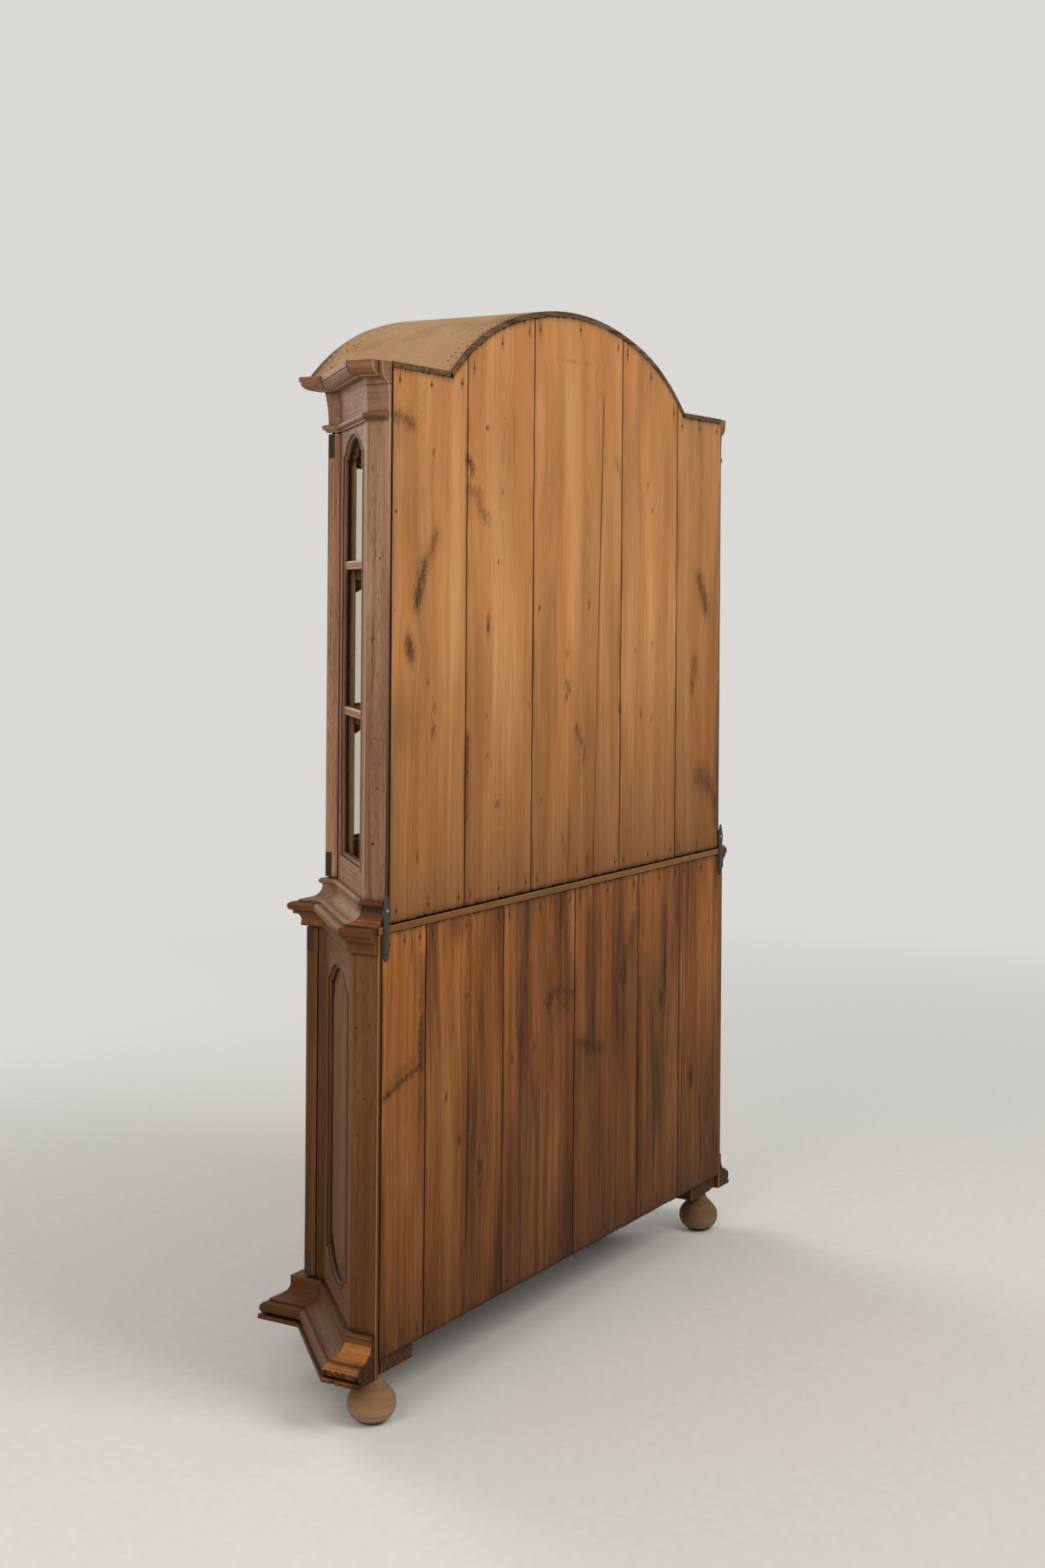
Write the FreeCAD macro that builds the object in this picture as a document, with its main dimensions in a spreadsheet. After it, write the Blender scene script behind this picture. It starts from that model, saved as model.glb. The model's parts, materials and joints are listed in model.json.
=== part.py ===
import FreeCAD, Part
import math
import os
import Sketcher

# A two-part display cupboard with canted corners, seen in the photograph from behind.
# The frame is in millimetres with +Z up and +Y to the rear. The front doors face -Y.
# The origin lies on the floor under the middle of the whole piece.
# Right means the +X side, which is on the right of somebody who stands before the doors.

doc = FreeCAD.newDocument("cupboard")
vector = FreeCAD.Vector


# Driving sizes

SIZES = {
    # plan of the two cases: rear width, straight side, cant and front corner
    "upper_half_width": 745.0,
    "upper_side_depth": 55.0,
    "upper_cant_run": 215.0,
    "case_step": 24.0,
    "lower_side_depth": 65.0,
    "lower_cant_run": 216.0,
    "lower_return_depth": 20.0,
    # levels
    "foot_height": 98.0,
    "lower_case_height": 865.0,
    "upper_case_height": 1085.0,
    "arch_inset": 1.0,
    "arch_rise": 177.0,
    # oak members
    "post_width": 34.0,
    "cant_thickness": 26.0,
    "cant_stile_width": 40.0,
    "front_leg_width": 45.0,
    "upper_leg_width": 35.0,
    "door_gap": 2.5,
    "upper_door_thickness": 29.0,
    "lower_door_thickness": 27.0,
    # pine boards
    "back_board_thickness": 16.0,
    "back_inset": 2.0,
    "board_joint": 2.0,
    "rabbet_play": 2.5,
    "upper_post_lip": 10.0,
    "lower_post_lip": 11.5,
    "lower_board_start": 36.0,
    "upper_board_start": 3.0,
    "waist_board_thickness": 14.0,
    "bottom_thickness": 18.0,
    "shelf_thickness": 18.0,
    "shelf_setback": 22.0,
    "shelf_play": 1.0,
    "roof_thickness": 12.0,
    "roof_overhang": 31.5,
    "former_depth": 45.0,
    "former_thickness": 24.0,
    "plate_height": 46.0,
    "plate_width": 40.0,
    "plate_overhang": 8.0,
    "cleat_size": 20.0,
    "cleat_length": 36.0,
    # shelves and glazing bars above the bottom of their case
    "lower_shelf_rise": 462.0,
    "first_bar_rise": 398.0,
    "second_bar_rise": 695.0,
    "bar_height": 18.0,
    "bar_depth": 16.0,
    "bar_recess": 6.0,
    # rails above and below the openings of the canted sides
    "upper_cant_rail_low": 55.0,
    "upper_cant_rail_high": 56.0,
    "lower_cant_rail_low": 85.0,
    "lower_cant_rail_high": 94.0,
    "shoulder_step": 15.0,
    "head_rise": 40.0,
    "glass_thickness": 3.0,
    "glass_inset": 12.0,
    "panel_inset": 10.0,
    "panel_thickness": 9.0,
    "field_rise": 6.0,
    "field_margin": 20.0,
    "field_bevel": 16.0,
    # mouldings: every run stands off the case by these amounts
    "plinth_front_extra": 20.0,
    "plinth_height": 85.0,
    "plinth_fillet_out": 9.0,
    "plinth_fillet_height": 20.0,
    "plinth_cove_out": 40.0,
    "plinth_cove_height": 25.0,
    "plinth_roll_radius": 13.0,
    "plinth_groove": 2.0,
    "plinth_base_out": 57.0,
    "plinth_base_height": 9.0,
    "waist_drop": 51.0,
    "waist_bottom_out": 9.0,
    "waist_step_out": 15.0,
    "waist_fillet_height": 6.0,
    "waist_cove_height": 19.0,
    "waist_roll_radius": 9.0,
    "waist_roll_out": 6.0,
    "waist_top_fillet": 1.0,
    "bead_radius": 6.0,
    "base_rise": 47.0,
    "base_neck_out": 4.0,
    "base_neck_height": 12.0,
    "base_scotia_out": 30.0,
    "base_shelf_out": 39.0,
    "base_shelf_height": 4.0,
    "entablature_height": 114.0,
    "astragal_radius": 6.0,
    "astragal_fillet": 4.0,
    "cornice_height": 30.0,
    "cornice_fascia": 12.0,
    "cornice_out": 45.0,
    "cornice_foot_out": 20.0,
    "cornice_groove": 2.0,
    "cornice_nosing": 23.5,
    "moulding_end": 4.0,
    # doors
    "door_head_play": 3.0,
    "meeting_gap": 3.0,
    "hinge_stile_width": 62.0,
    "meeting_stile_width": 45.0,
    "door_bottom_rail": 72.0,
    "door_top_rail": 60.0,
    "lower_door_rail": 74.0,
    "cover_strip_width": 12.0,
    "cover_strip_rise": 6.0,
    "pivot_inset": 8.0,
    "pin_radius": 3.0,
    "pin_length": 9.0,
    "pin_play": 0.05,
    "pin_end_play": 1.0,
    "pivot_plate_width": 14.0,
    "pivot_plate_height": 50.0,
    "pivot_plate_thickness": 2.0,
    "pivot_leaf_length": 34.0,
    # turn catches
    "catch_spindle_radius": 4.0,
    "catch_play": 0.05,
    "catch_tongue_length": 46.0,
    "catch_tongue_width": 12.0,
    "catch_tongue_thickness": 3.0,
    "catch_tongue_gap": 0.8,
    "knob_radius": 12.0,
    "knob_length": 22.0,
    "rose_radius": 10.0,
    "rose_thickness": 2.0,
    "upper_catch_rise": 517.0,
    "lower_catch_rise": 502.0,
    # feet
    "foot_belly_radius": 48.5,
    "foot_belly_level": 39.0,
    "foot_base_radius": 20.0,
    "foot_shoulder_radius": 33.0,
    "foot_shoulder_level": 70.0,
    "foot_neck_radius": 18.0,
    "foot_neck_level": 88.0,
    "foot_collar_radius": 24.0,
    "foot_collar_height": 8.0,
    "foot_lower_curve": 36.0,
    "foot_upper_curve": 36.0,
    "foot_neck_curve": 26.0,
    "foot_rear_inset": 45.0,
    "foot_rear_depth": 41.0,
    "foot_front_inset": 48.0,
    "foot_front_setback": 16.0,
    "foot_board_width": 110.0,
    "foot_board_inset": 12.0,
    # ironwork at the rear
    "strap_thickness": 3.0,
    "strap_offset": 3.0,
    "strap_width": 16.0,
    "strap_bulge_width": 24.0,
    "strap_tip_width": 5.0,
    "strap_below": 68.0,
    "strap_neck": 6.0,
    "strap_bulge": 30.0,
    "strap_above": 60.0,
    "nail_radius": 3.5,
    "nail_rise": 1.2,
    "screw_radius": 4.0,
    "screw_rise": 1.6,
    "nail_margin": 22.0,
    "ear_width": 26.0,
    "ear_height": 44.0,
    "ear_depth": 10.0,
    "ear_slope": 16.0,
    "cut_overrun": 5.0,
    "merge_distance": 0.05,
}

# Joints between the back boards, as shares of the half width, from the right to the left
UPPER_JOINT_SHARES = (0.633, 0.268, -0.280, -0.670)
LOWER_JOINT_SHARES = (0.799, 0.407, 0.003, -0.400, -0.689)

# A basket arch's crown radius and half angle, as shares of those of a plain arc of its span
CROWN_RADIUS_SHARE = 1.1376
CROWN_ANGLE_SHARE = 0.4865

# How far an arc of a profile bulges to the left of its chord, as shares of the chord
ROUND_OUT_SHARE = -0.5
OVOLO_SHARE = -0.2
PLINTH_COVE_SHARE = 0.16
WAIST_COVE_SHARE = 0.15
SCOTIA_SHARE = 0.2

# Shares of the piece that carries them
EAR_CURVE_SHARE = 0.8
STRAP_END_SHARE = 1.05
KNOB_NECK_SHARE = 0.7
KNOB_FLAT_SHARE = 0.25


class Size:
    """A length that carries its value and the expression it comes from."""

    def __init__(self, value, text):
        self.value = value
        self.text = text

    def join(self, other, sign, value):
        text = other.text if isinstance(other, Size) else repr(other)
        return Size(value, "(" + self.text + " " + sign + " " + text + ")")

    def __add__(self, other):
        return self.join(other, "+", self.value + number(other))

    def __sub__(self, other):
        return self.join(other, "-", self.value - number(other))

    def __mul__(self, factor):
        return self.join(factor, "*", self.value * number(factor))

    def __truediv__(self, divisor):
        return self.join(divisor, "/", self.value / number(divisor))

    def __neg__(self):
        return Size(-self.value, "(0 - " + self.text + ")")


def number(size):
    return size.value if isinstance(size, Size) else size


ZERO = Size(0.0, "0")


def make_sheet():
    """Write the driving sizes into a spreadsheet and return them as bound sizes."""
    sheet = doc.addObject("Spreadsheet::Sheet", "sizes")
    for row, (name, value) in enumerate(SIZES.items(), start=1):
        sheet.set("A" + str(row), name)
        sheet.set("B" + str(row), str(value))
        sheet.setAlias("B" + str(row), name)
    doc.recompute()
    return {name: Size(float(sheet.get(name)), "sizes." + name) for name in SIZES}


size = make_sheet()


def length(name):
    """One of the sizes as a plain number."""
    return size[name].value


# Values worked out from the driving sizes

CANT_ANGLE = 45
TAN_MITRE = math.tan(math.radians(CANT_ANGLE / 2))
ROOT_TWO = math.sqrt(2)

size["lower_half_width"] = size["upper_half_width"] + size["case_step"]
for case in ("upper", "lower"):
    size[case + "_return_x"] = size[case + "_half_width"] - size[case + "_cant_run"]
    size[case + "_board_half_width"] = size[case + "_half_width"] - size[case + "_post_lip"]
size["arch_half_span"] = size["upper_return_x"] - size["arch_inset"]

upper_cant_end = size["upper_side_depth"] + size["upper_cant_run"]
lower_cant_end = size["lower_side_depth"] + size["lower_cant_run"]
upper_front = upper_cant_end + size["door_gap"] + size["upper_door_thickness"]
lower_carcass_front = lower_cant_end + size["lower_return_depth"]
lower_front = lower_carcass_front + size["door_gap"] + size["lower_door_thickness"]
plinth_front = lower_front + size["plinth_front_extra"]
size["roof_depth"] = upper_front + size["roof_overhang"]

rear_overhang = size["foot_belly_radius"] - size["foot_rear_depth"]
back_y = (plinth_front + size["plinth_base_out"] - rear_overhang) / 2

lower_top = size["foot_height"] + size["lower_case_height"]
lower_back_top = lower_top - size["waist_board_thickness"]
shoulder_top = lower_top + size["upper_case_height"]
shoulder_low = shoulder_top - size["roof_thickness"]
base_top = lower_top + size["base_rise"]
plinth_top = size["foot_height"] + size["plinth_height"]
waist_low = lower_top - size["waist_drop"]
entablature_low = shoulder_top - size["entablature_height"]
roof_crown = shoulder_top + size["arch_rise"]
foot_board_top = size["foot_height"] + size["lower_board_start"]

size["lower_shelf_level"] = size["foot_height"] + size["lower_shelf_rise"]
size["first_bar_level"] = lower_top + size["first_bar_rise"]
size["second_bar_level"] = lower_top + size["second_bar_rise"]
size["upper_opening_low"] = base_top + size["upper_cant_rail_low"]
size["upper_opening_shoulder"] = entablature_low - size["upper_cant_rail_high"]
size["lower_opening_low"] = plinth_top + size["lower_cant_rail_low"]
size["lower_opening_shoulder"] = waist_low - size["lower_cant_rail_high"]
upper_catch_level = lower_top + size["upper_catch_rise"]
lower_catch_level = size["foot_height"] + size["lower_catch_rise"]

foot_places = {"rear": (size["lower_half_width"] - size["foot_rear_inset"], size["foot_rear_depth"]),
               "front": (size["lower_return_x"] - size["foot_front_inset"],
                         lower_carcass_front - size["foot_front_setback"])}
strap_centre_x = size["upper_half_width"] + size["strap_offset"]


def y_at(depth):
    """Turn a distance from the back of the boards into a place along Y."""
    return back_y - depth


# Helpers for document objects

def bind(item, prop, value):
    """Bind one property of a document object to the sheet."""
    item.setExpression(prop, number_text(value))


def number_text(value):
    return value.text if isinstance(value, Size) else repr(value)


def place(item, x, y, z):
    bind(item, ".Placement.Base.x", x)
    bind(item, ".Placement.Base.y", y)
    bind(item, ".Placement.Base.z", z)


def add_box(label, x, depth, z, width, thickness, height):
    """A plank from x to x + width, from depth forwards by thickness, and up by height."""
    box = doc.addObject("Part::Box", label)
    bind(box, "Length", width)
    bind(box, "Width", thickness)
    bind(box, "Height", height)
    place(box, x, y_at(depth + thickness), z)
    return box


def sketch_arc(start, end, radius, turn):
    """An arc of circle from start to end, with its centre left (1) or right (-1) of the chord."""
    chord = end - start
    half = chord.Length / 2
    side = vector(-chord.y, chord.x, 0)
    side.normalize()
    rise = math.sqrt(max(radius * radius - half * half, 0))
    centre = start + chord * (half / chord.Length) + side * (rise * turn)
    first, last = (start, end) if turn > 0 else (end, start)
    angles = [math.atan2(point.y - centre.y, point.x - centre.x) for point in (first, last)]
    circle = Part.Circle(centre, vector(0, 0, 1), radius)
    return Part.ArcOfCircle(circle, angles[0], angles[1])


def draw_outline(sketch, points, arcs):
    """Draw a closed outline whose corners are bound to the sheet.

    points are pairs of sizes. arcs gives, for the edge that starts at a point's index,
    a radius and the side of its centre.
    """
    spots = [vector(number(x), number(y), 0) for x, y in points]
    ends = []
    for index, start in enumerate(spots):
        end = spots[(index + 1) % len(spots)]
        if index in arcs:
            radius, turn = arcs[index]
            edge = sketch.addGeometry(sketch_arc(start, end, number(radius), turn), False)
            ends.append((edge, 1, 2) if turn > 0 else (edge, 2, 1))
            rule = sketch.addConstraint(Sketcher.Constraint("Radius", edge, number(radius)))
            bind(sketch, "Constraints[" + str(rule) + "]", radius)
        else:
            edge = sketch.addGeometry(Part.LineSegment(start, end), False)
            ends.append((edge, 1, 2))
    for index, (edge, begin, finish) in enumerate(ends):
        following, next_begin, next_finish = ends[(index + 1) % len(ends)]
        joint = Sketcher.Constraint("Coincident", edge, finish, following, next_begin)
        sketch.addConstraint(joint)
        for kind, place_along in zip(("DistanceX", "DistanceY"), points[index]):
            limit = Sketcher.Constraint(kind, -1, 1, edge, begin, number(place_along))
            rule = sketch.addConstraint(limit)
            bind(sketch, "Constraints[" + str(rule) + "]", place_along)


def origin_plane(body, role):
    return [item for item in body.Origin.OriginFeatures if item.Role == role][0]


def sketch_on(body, role, points, arcs):
    sketch = body.newObject("Sketcher::SketchObject", body.Name + "_outline")
    sketch.AttachmentSupport = [(origin_plane(body, role), "")]
    sketch.MapMode = "FlatFace"
    draw_outline(sketch, points, arcs)
    return sketch


def add_plan_body(label, points, low, height):
    """A piece cut to an outline in plan, from low up by height. Points are x and depth."""
    body = doc.addObject("PartDesign::Body", label)
    outline = [(x, -depth) for x, depth in points]
    pad = body.newObject("PartDesign::Pad", label + "_pad")
    pad.Profile = sketch_on(body, "XY_Plane", outline, {})
    bind(pad, "Length", height)
    place(body, ZERO, back_y, low)
    return body


def add_rear_body(label, points, arcs, depth, thickness):
    """A piece cut to an outline seen from the front, from depth forwards by thickness."""
    body = doc.addObject("PartDesign::Body", label)
    pad = body.newObject("PartDesign::Pad", label + "_pad")
    pad.Profile = sketch_on(body, "XZ_Plane", points, arcs)
    bind(pad, "Length", thickness)
    place(body, ZERO, y_at(depth), ZERO)
    return body


def add_turned_body(label, points, arcs, x, depth, z):
    """A piece turned about a vertical axis, from half of its outline."""
    body = doc.addObject("PartDesign::Body", label)
    turning = body.newObject("PartDesign::Revolution", label + "_turning")
    sketch = sketch_on(body, "XZ_Plane", points, arcs)
    turning.Profile = sketch
    turning.ReferenceAxis = (sketch, ["V_Axis"])
    turning.Angle = 360
    place(body, x, y_at(depth), z)
    return body


def add_shape(label, shape):
    """A piece whose shape is worked out from the sheet's sizes in this file."""
    feature = doc.addObject("Part::Feature", label)
    feature.Shape = shape
    feature.Placement = FreeCAD.Placement()
    return feature


def add_group(label, pieces):
    """Several separate pieces under one name."""
    group = doc.addObject("Part::Compound", label)
    group.Links = pieces
    return group


def add_cut(label, base, tool):
    cut = doc.addObject("Part::Cut", label)
    cut.Base = base
    cut.Tool = tool
    return cut


def add_common(label, base, tool):
    common = doc.addObject("Part::Common", label)
    common.Base = base
    common.Tool = tool
    return common


def add_mirror(label, source):
    """The left-hand twin of a right-hand piece."""
    mirror = doc.addObject("Part::Mirroring", label)
    mirror.Source = source
    mirror.Normal = vector(1, 0, 0)
    mirror.Base = vector(0, 0, 0)
    return mirror


nodes = []


def keep(item, label):
    """Register a finished sub-part under its own label."""
    item.Label = label
    nodes.append(item)
    return item


def keep_pair(item, stem):
    """Register a right-hand piece and its left-hand twin."""
    keep(item, stem + "_right")
    keep(add_mirror(stem + "_left", item), stem + "_left")


def keep_twins(item, label):
    """Register a right-hand piece and its left-hand twin under one name."""
    twin = add_mirror(label + "_twin", item)
    keep(add_group(label, [item, twin]), label)


# Shapes for pieces that follow an arch or a mitred outline

def box_shape(x_low, x_high, depth_low, depth_high, z_low, z_high):
    """A plain block given by its limits in x, depth and z."""
    width = number(x_high) - number(x_low)
    thickness = number(depth_high) - number(depth_low)
    height = number(z_high) - number(z_low)
    corner = vector(number(x_low), number(y_at(depth_high)), number(z_low))
    return Part.makeBox(width, thickness, height, corner)


def arch_edges(half_span, rise, base_level, lowering):
    """The three arcs of a basket arch, from the right spring to the left one.

    lowering moves every arc inwards by the same distance.
    """
    plain_radius = (half_span ** 2 + rise ** 2) / (2 * rise)
    radius = plain_radius * CROWN_RADIUS_SHARE
    angle = math.asin(half_span / plain_radius) * CROWN_ANGLE_SHARE
    fall = radius - rise
    top = radius ** 2 - half_span ** 2 - fall ** 2
    bottom = 2 * (radius - half_span * math.sin(angle) - fall * math.cos(angle))
    shift = top / bottom
    haunch = radius - shift
    crown_centre = vector(0, 0, base_level + rise - radius)
    haunch_centre = crown_centre + vector(shift * math.sin(angle), 0, shift * math.cos(angle))
    spring = vector(half_span, 0, base_level)
    start_angle = math.atan2(spring.z - haunch_centre.z, spring.x - haunch_centre.x)
    end_angle = math.pi / 2 - angle

    def on_haunch(turn):
        reach = haunch - lowering
        return haunch_centre + vector(reach * math.cos(turn), 0, reach * math.sin(turn))

    middle_angle = (start_angle + end_angle) / 2
    points = [on_haunch(start_angle), on_haunch(middle_angle), on_haunch(end_angle)]
    crown = crown_centre + vector(0, 0, radius - lowering)
    other = [vector(-point.x, 0, point.z) for point in reversed(points)]
    return [Part.Arc(points[0], points[1], points[2]).toShape(),
            Part.Arc(points[2], crown, other[0]).toShape(),
            Part.Arc(other[0], other[1], other[2]).toShape()]


def space_under_arch(half_span, rise, base_level, lowering, floor_level, depth_low, depth_high):
    """The space under a basket arch down to floor_level, between two depths."""
    edges = arch_edges(half_span, rise, base_level, lowering)
    right = edges[0].Vertexes[0].Point
    left = vector(-right.x, 0, right.z)
    low_right = vector(right.x, 0, floor_level)
    low_left = vector(-right.x, 0, floor_level)
    sides = [Part.makeLine(left, low_left), Part.makeLine(low_left, low_right),
             Part.makeLine(low_right, right)]
    face = Part.Face(Part.Wire(edges + sides))
    face.translate(vector(0, number(y_at(depth_low)), 0))
    return face.extrude(vector(0, number(depth_low) - number(depth_high), 0))


def roof_space(lowering, floor_level, depth_low, depth_high):
    """The space under the roof's own arch, lowered by a distance."""
    return space_under_arch(length("arch_half_span"), length("arch_rise"), number(shoulder_top),
                            lowering, number(floor_level), depth_low, depth_high)


door_arch_half_span = size["upper_return_x"] - size["hinge_stile_width"]
door_arch_rise = size["arch_rise"] * (door_arch_half_span.value / length("arch_half_span"))


def door_space(lowering, floor_level, depth_low, depth_high):
    """The space under the arch over the upper doors, lowered by a distance."""
    return space_under_arch(number(door_arch_half_span), number(door_arch_rise),
                            number(entablature_low), lowering, number(floor_level),
                            depth_low, depth_high)


def plan_outline(case, front):
    """Corners of a case's plan on the right side, each with the way its mitre runs."""
    side_x = length(case + "_half_width")
    side_depth = length(case + "_side_depth")
    return_x = length(case + "_return_x")
    cant_end = side_depth + length(case + "_cant_run")
    return [((side_x, length("moulding_end")), (1.0, 0.0)),
            ((side_x, side_depth), (1.0, TAN_MITRE)),
            ((return_x, cant_end), (1.0, TAN_MITRE)),
            ((return_x, number(front)), (1.0, 1.0))]


def plan_point(corner, offset):
    (x, depth), (step_x, step_depth) = corner
    return vector(x + offset * step_x, number(back_y) - depth - offset * step_depth, 0)


def profile_face(profile, place_of):
    """A flat face from a profile of corner points and arcs.

    profile holds (out, level) corners, and before an arc's end a third value,
    the arc's bulge to the left of its chord as a share of the chord.
    """
    edges = []
    for index, corner in enumerate(profile):
        following = profile[(index + 1) % len(profile)]
        start = place_of(corner[0], corner[1])
        end = place_of(following[0], following[1])
        if len(corner) > 2:
            middle_out = (corner[0] + following[0]) / 2 - (following[1] - corner[1]) * corner[2]
            middle_level = (corner[1] + following[1]) / 2 + (following[0] - corner[0]) * corner[2]
            middle = place_of(middle_out, middle_level)
            edges.append(Part.Arc(start, middle, end).toShape())
        else:
            edges.append(Part.makeLine(start, end))
    return Part.Face(Part.Wire(edges))


def moulding_run(profile, start_corner, end_corner, reach):
    """One straight length of moulding, cut along its mitres at both ends."""
    start = plan_point(start_corner, 0)
    end = plan_point(end_corner, 0)
    along = plan_point(end_corner, reach) - plan_point(start_corner, reach)
    along.normalize()
    outwards = vector(along.y, -along.x, 0)
    if outwards.dot(plan_point(start_corner, 1) - start) < 0:
        outwards = -outwards
    ahead = along * (2 * reach)

    def place_of(out, level):
        return start - ahead + outwards * out + vector(0, 0, level)

    blank = profile_face(profile, place_of).extrude(ahead * 2 + end - start)
    fence = [start, plan_point(start_corner, reach), plan_point(end_corner, reach)]
    if not end.isEqual(start, length("merge_distance")):
        fence.append(end)
    wedge = Part.Face(Part.makePolygon(fence + fence[:1])).extrude(vector(0, 0, number(roof_crown)))
    return blank.common(wedge)


def side_runs(profile, outline, front_end):
    """The side, cant and return lengths on the right, and a front length up to front_end."""
    reach = 2 * length("plinth_base_out")
    lengths = [moulding_run(profile, outline[i], outline[i + 1], reach) for i in range(3)]
    if front_end is not None:
        front = outline[3][0][1]
        lengths.append(moulding_run(profile, outline[3], ((front_end, front), (0.0, 1.0)), reach))
    return lengths


def front_run(profile, outline):
    """The length across the whole front, mitred at both corners."""
    (x, depth), (step_x, step_depth) = outline[3]
    left_corner = ((-x, depth), (-step_x, step_depth))
    return moulding_run(profile, outline[3], left_corner, 2 * length("plinth_base_out"))


def swept_arch(profile, edges, depth, x_limit):
    """A moulding bent along an arch. The profile's level is counted up from the arch."""
    first = edges[0]
    spot = first.Vertexes[0].Point
    tangent = first.tangentAt(first.FirstParameter)
    upwards = vector(-tangent.z, 0, tangent.x)
    if upwards.z < 0:
        upwards = -upwards
    start = vector(spot.x, number(y_at(depth)), spot.z)

    def place_of(out, level):
        return start + vector(0, -out, 0) + upwards * level

    path = Part.Wire(edges)
    path.translate(vector(0, number(y_at(depth)), 0))
    section = profile_face(profile, place_of).OuterWire
    swept = path.makePipeShell([section], True, True)
    limit = Part.makeBox(2 * x_limit, 4 * length("upper_half_width"), 2 * number(roof_crown),
                         vector(-x_limit, -2 * length("upper_half_width"), 0))
    return swept.common(limit)


# Feet and the boards that carry the lower case

def make_feet():
    """Flattened turned balls with a short neck and a collar, two at the rear and two in front."""
    outline = [(ZERO, ZERO),
               (size["foot_base_radius"], ZERO),
               (size["foot_belly_radius"], size["foot_belly_level"]),
               (size["foot_shoulder_radius"], size["foot_shoulder_level"]),
               (size["foot_neck_radius"], size["foot_neck_level"]),
               (size["foot_neck_radius"], size["foot_height"] - size["foot_collar_height"]),
               (size["foot_collar_radius"], size["foot_height"] - size["foot_collar_height"]),
               (size["foot_collar_radius"], size["foot_height"]),
               (ZERO, size["foot_height"])]
    curves = {1: (size["foot_lower_curve"], 1), 2: (size["foot_upper_curve"], 1),
              3: (size["foot_neck_curve"], -1)}
    for row, (x, depth) in foot_places.items():
        foot = add_turned_body("foot_" + row, outline, curves, x, depth, ZERO)
        keep_twins(foot, row + "_feet")


def make_foot_boards():
    outer = size["lower_half_width"] - size["post_width"]
    inner = outer - size["foot_board_width"]
    reach = (size["lower_half_width"] + size["lower_side_depth"]
             - size["cant_thickness"] * ROOT_TWO)
    outline = [(inner, size["foot_board_inset"]), (outer, size["foot_board_inset"]),
               (outer, reach - outer), (inner, reach - inner)]
    board = add_plan_body("foot_board", outline, size["foot_height"], size["lower_board_start"])
    keep_twins(board, "foot_boards")


# Posts, canted frames and inner boards

cant_inset = size["cant_thickness"] * TAN_MITRE
upper_inner_depth = upper_cant_end - cant_inset
lower_inner_depth = lower_cant_end - cant_inset


def rear_post_outline(case):
    """A rear corner post in plan, mitred to the cant and rabbeted for the back boards."""
    outer = size[case + "_half_width"]
    inner = outer - size["post_width"]
    rabbet = size[case + "_board_half_width"] + size["rabbet_play"]
    inner_depth = size[case + "_side_depth"] - size["post_width"] * TAN_MITRE
    return [(outer, size["back_inset"]), (outer, size[case + "_side_depth"]),
            (inner, inner_depth), (inner, size["back_board_thickness"]),
            (rabbet, size["back_board_thickness"]), (rabbet, size["back_inset"])]


def make_rear_posts():
    lower = add_plan_body("lower_rear_post", rear_post_outline("lower"), size["foot_height"],
                          lower_back_top - size["foot_height"])
    keep_twins(lower, "lower_rear_posts")
    blank = add_plan_body("upper_rear_blank", rear_post_outline("upper"), lower_top,
                          size["upper_case_height"])
    rabbet = size["upper_board_half_width"] + size["rabbet_play"]
    seat = add_box("shoulder_seat", rabbet - size["post_width"] * 2, ZERO, shoulder_low,
                   size["post_width"] * 2, size["upper_side_depth"] * 2, size["post_width"])
    post = add_cut("upper_rear_stem", blank, seat)
    outer = size["upper_half_width"]
    tip = outer + size["ear_width"] - (outer - rabbet)
    ear = add_rear_body("post_ear",
                        [(outer, shoulder_top - size["ear_height"]),
                         (tip, shoulder_top - size["ear_slope"]),
                         (tip, shoulder_top), (outer, shoulder_top)],
                        {0: (size["ear_height"] * EAR_CURVE_SHARE, 1)}, size["back_inset"],
                        size["ear_depth"])
    joined = doc.addObject("Part::Fuse", "upper_rear_post")
    joined.Base = post
    joined.Tool = ear
    keep_twins(joined, "upper_rear_posts")


def make_front_frame():
    """The short front corners behind the hinge stiles, with rails between the lower ones."""
    outer = size["lower_return_x"]
    inner = outer - size["front_leg_width"]
    mitre_x = outer - size["cant_thickness"]
    lower = add_plan_body("lower_front_post",
                          [(outer, lower_cant_end), (outer, lower_carcass_front),
                           (inner, lower_carcass_front), (inner, lower_inner_depth),
                           (mitre_x, lower_inner_depth)],
                          size["foot_height"], lower_back_top - size["foot_height"])
    thickness = lower_carcass_front - lower_inner_depth
    rail_low = add_box("lower_front_rail_low", -inner, lower_inner_depth, size["foot_height"],
                       inner * 2, thickness, size["plinth_height"])
    rail_high = add_box("lower_front_rail_high", -inner, lower_inner_depth, waist_low,
                        inner * 2, thickness,
                        size["waist_drop"] - size["waist_board_thickness"])
    twin = add_mirror("lower_front_twin", lower)
    keep(add_group("lower_front_frame", [lower, twin, rail_low, rail_high]),
         "lower_front_frame")
    outer = size["upper_return_x"]
    inner = outer - size["upper_leg_width"]
    mitre_x = outer - size["cant_thickness"]
    upper = add_plan_body("upper_front_post",
                          [(outer, upper_cant_end), (inner, upper_cant_end),
                           (inner, upper_inner_depth), (mitre_x, upper_inner_depth)],
                          lower_top, shoulder_low - lower_top)
    keep_twins(upper, "upper_front_posts")


def inner_outline(case, front_depth, play):
    """The plan inside a case's posts and canted frames, up to a front depth."""
    side = size[case + "_half_width"] - size["post_width"] - play
    reach = (size[case + "_half_width"] + size[case + "_side_depth"]
             - size["cant_thickness"] * ROOT_TWO - play * ROOT_TWO)
    rear = size["back_board_thickness"]
    right = [(side, rear), (side, reach - side), (reach - front_depth, front_depth)]
    left = [(-x, depth) for x, depth in reversed(right)]
    return right + left


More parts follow.
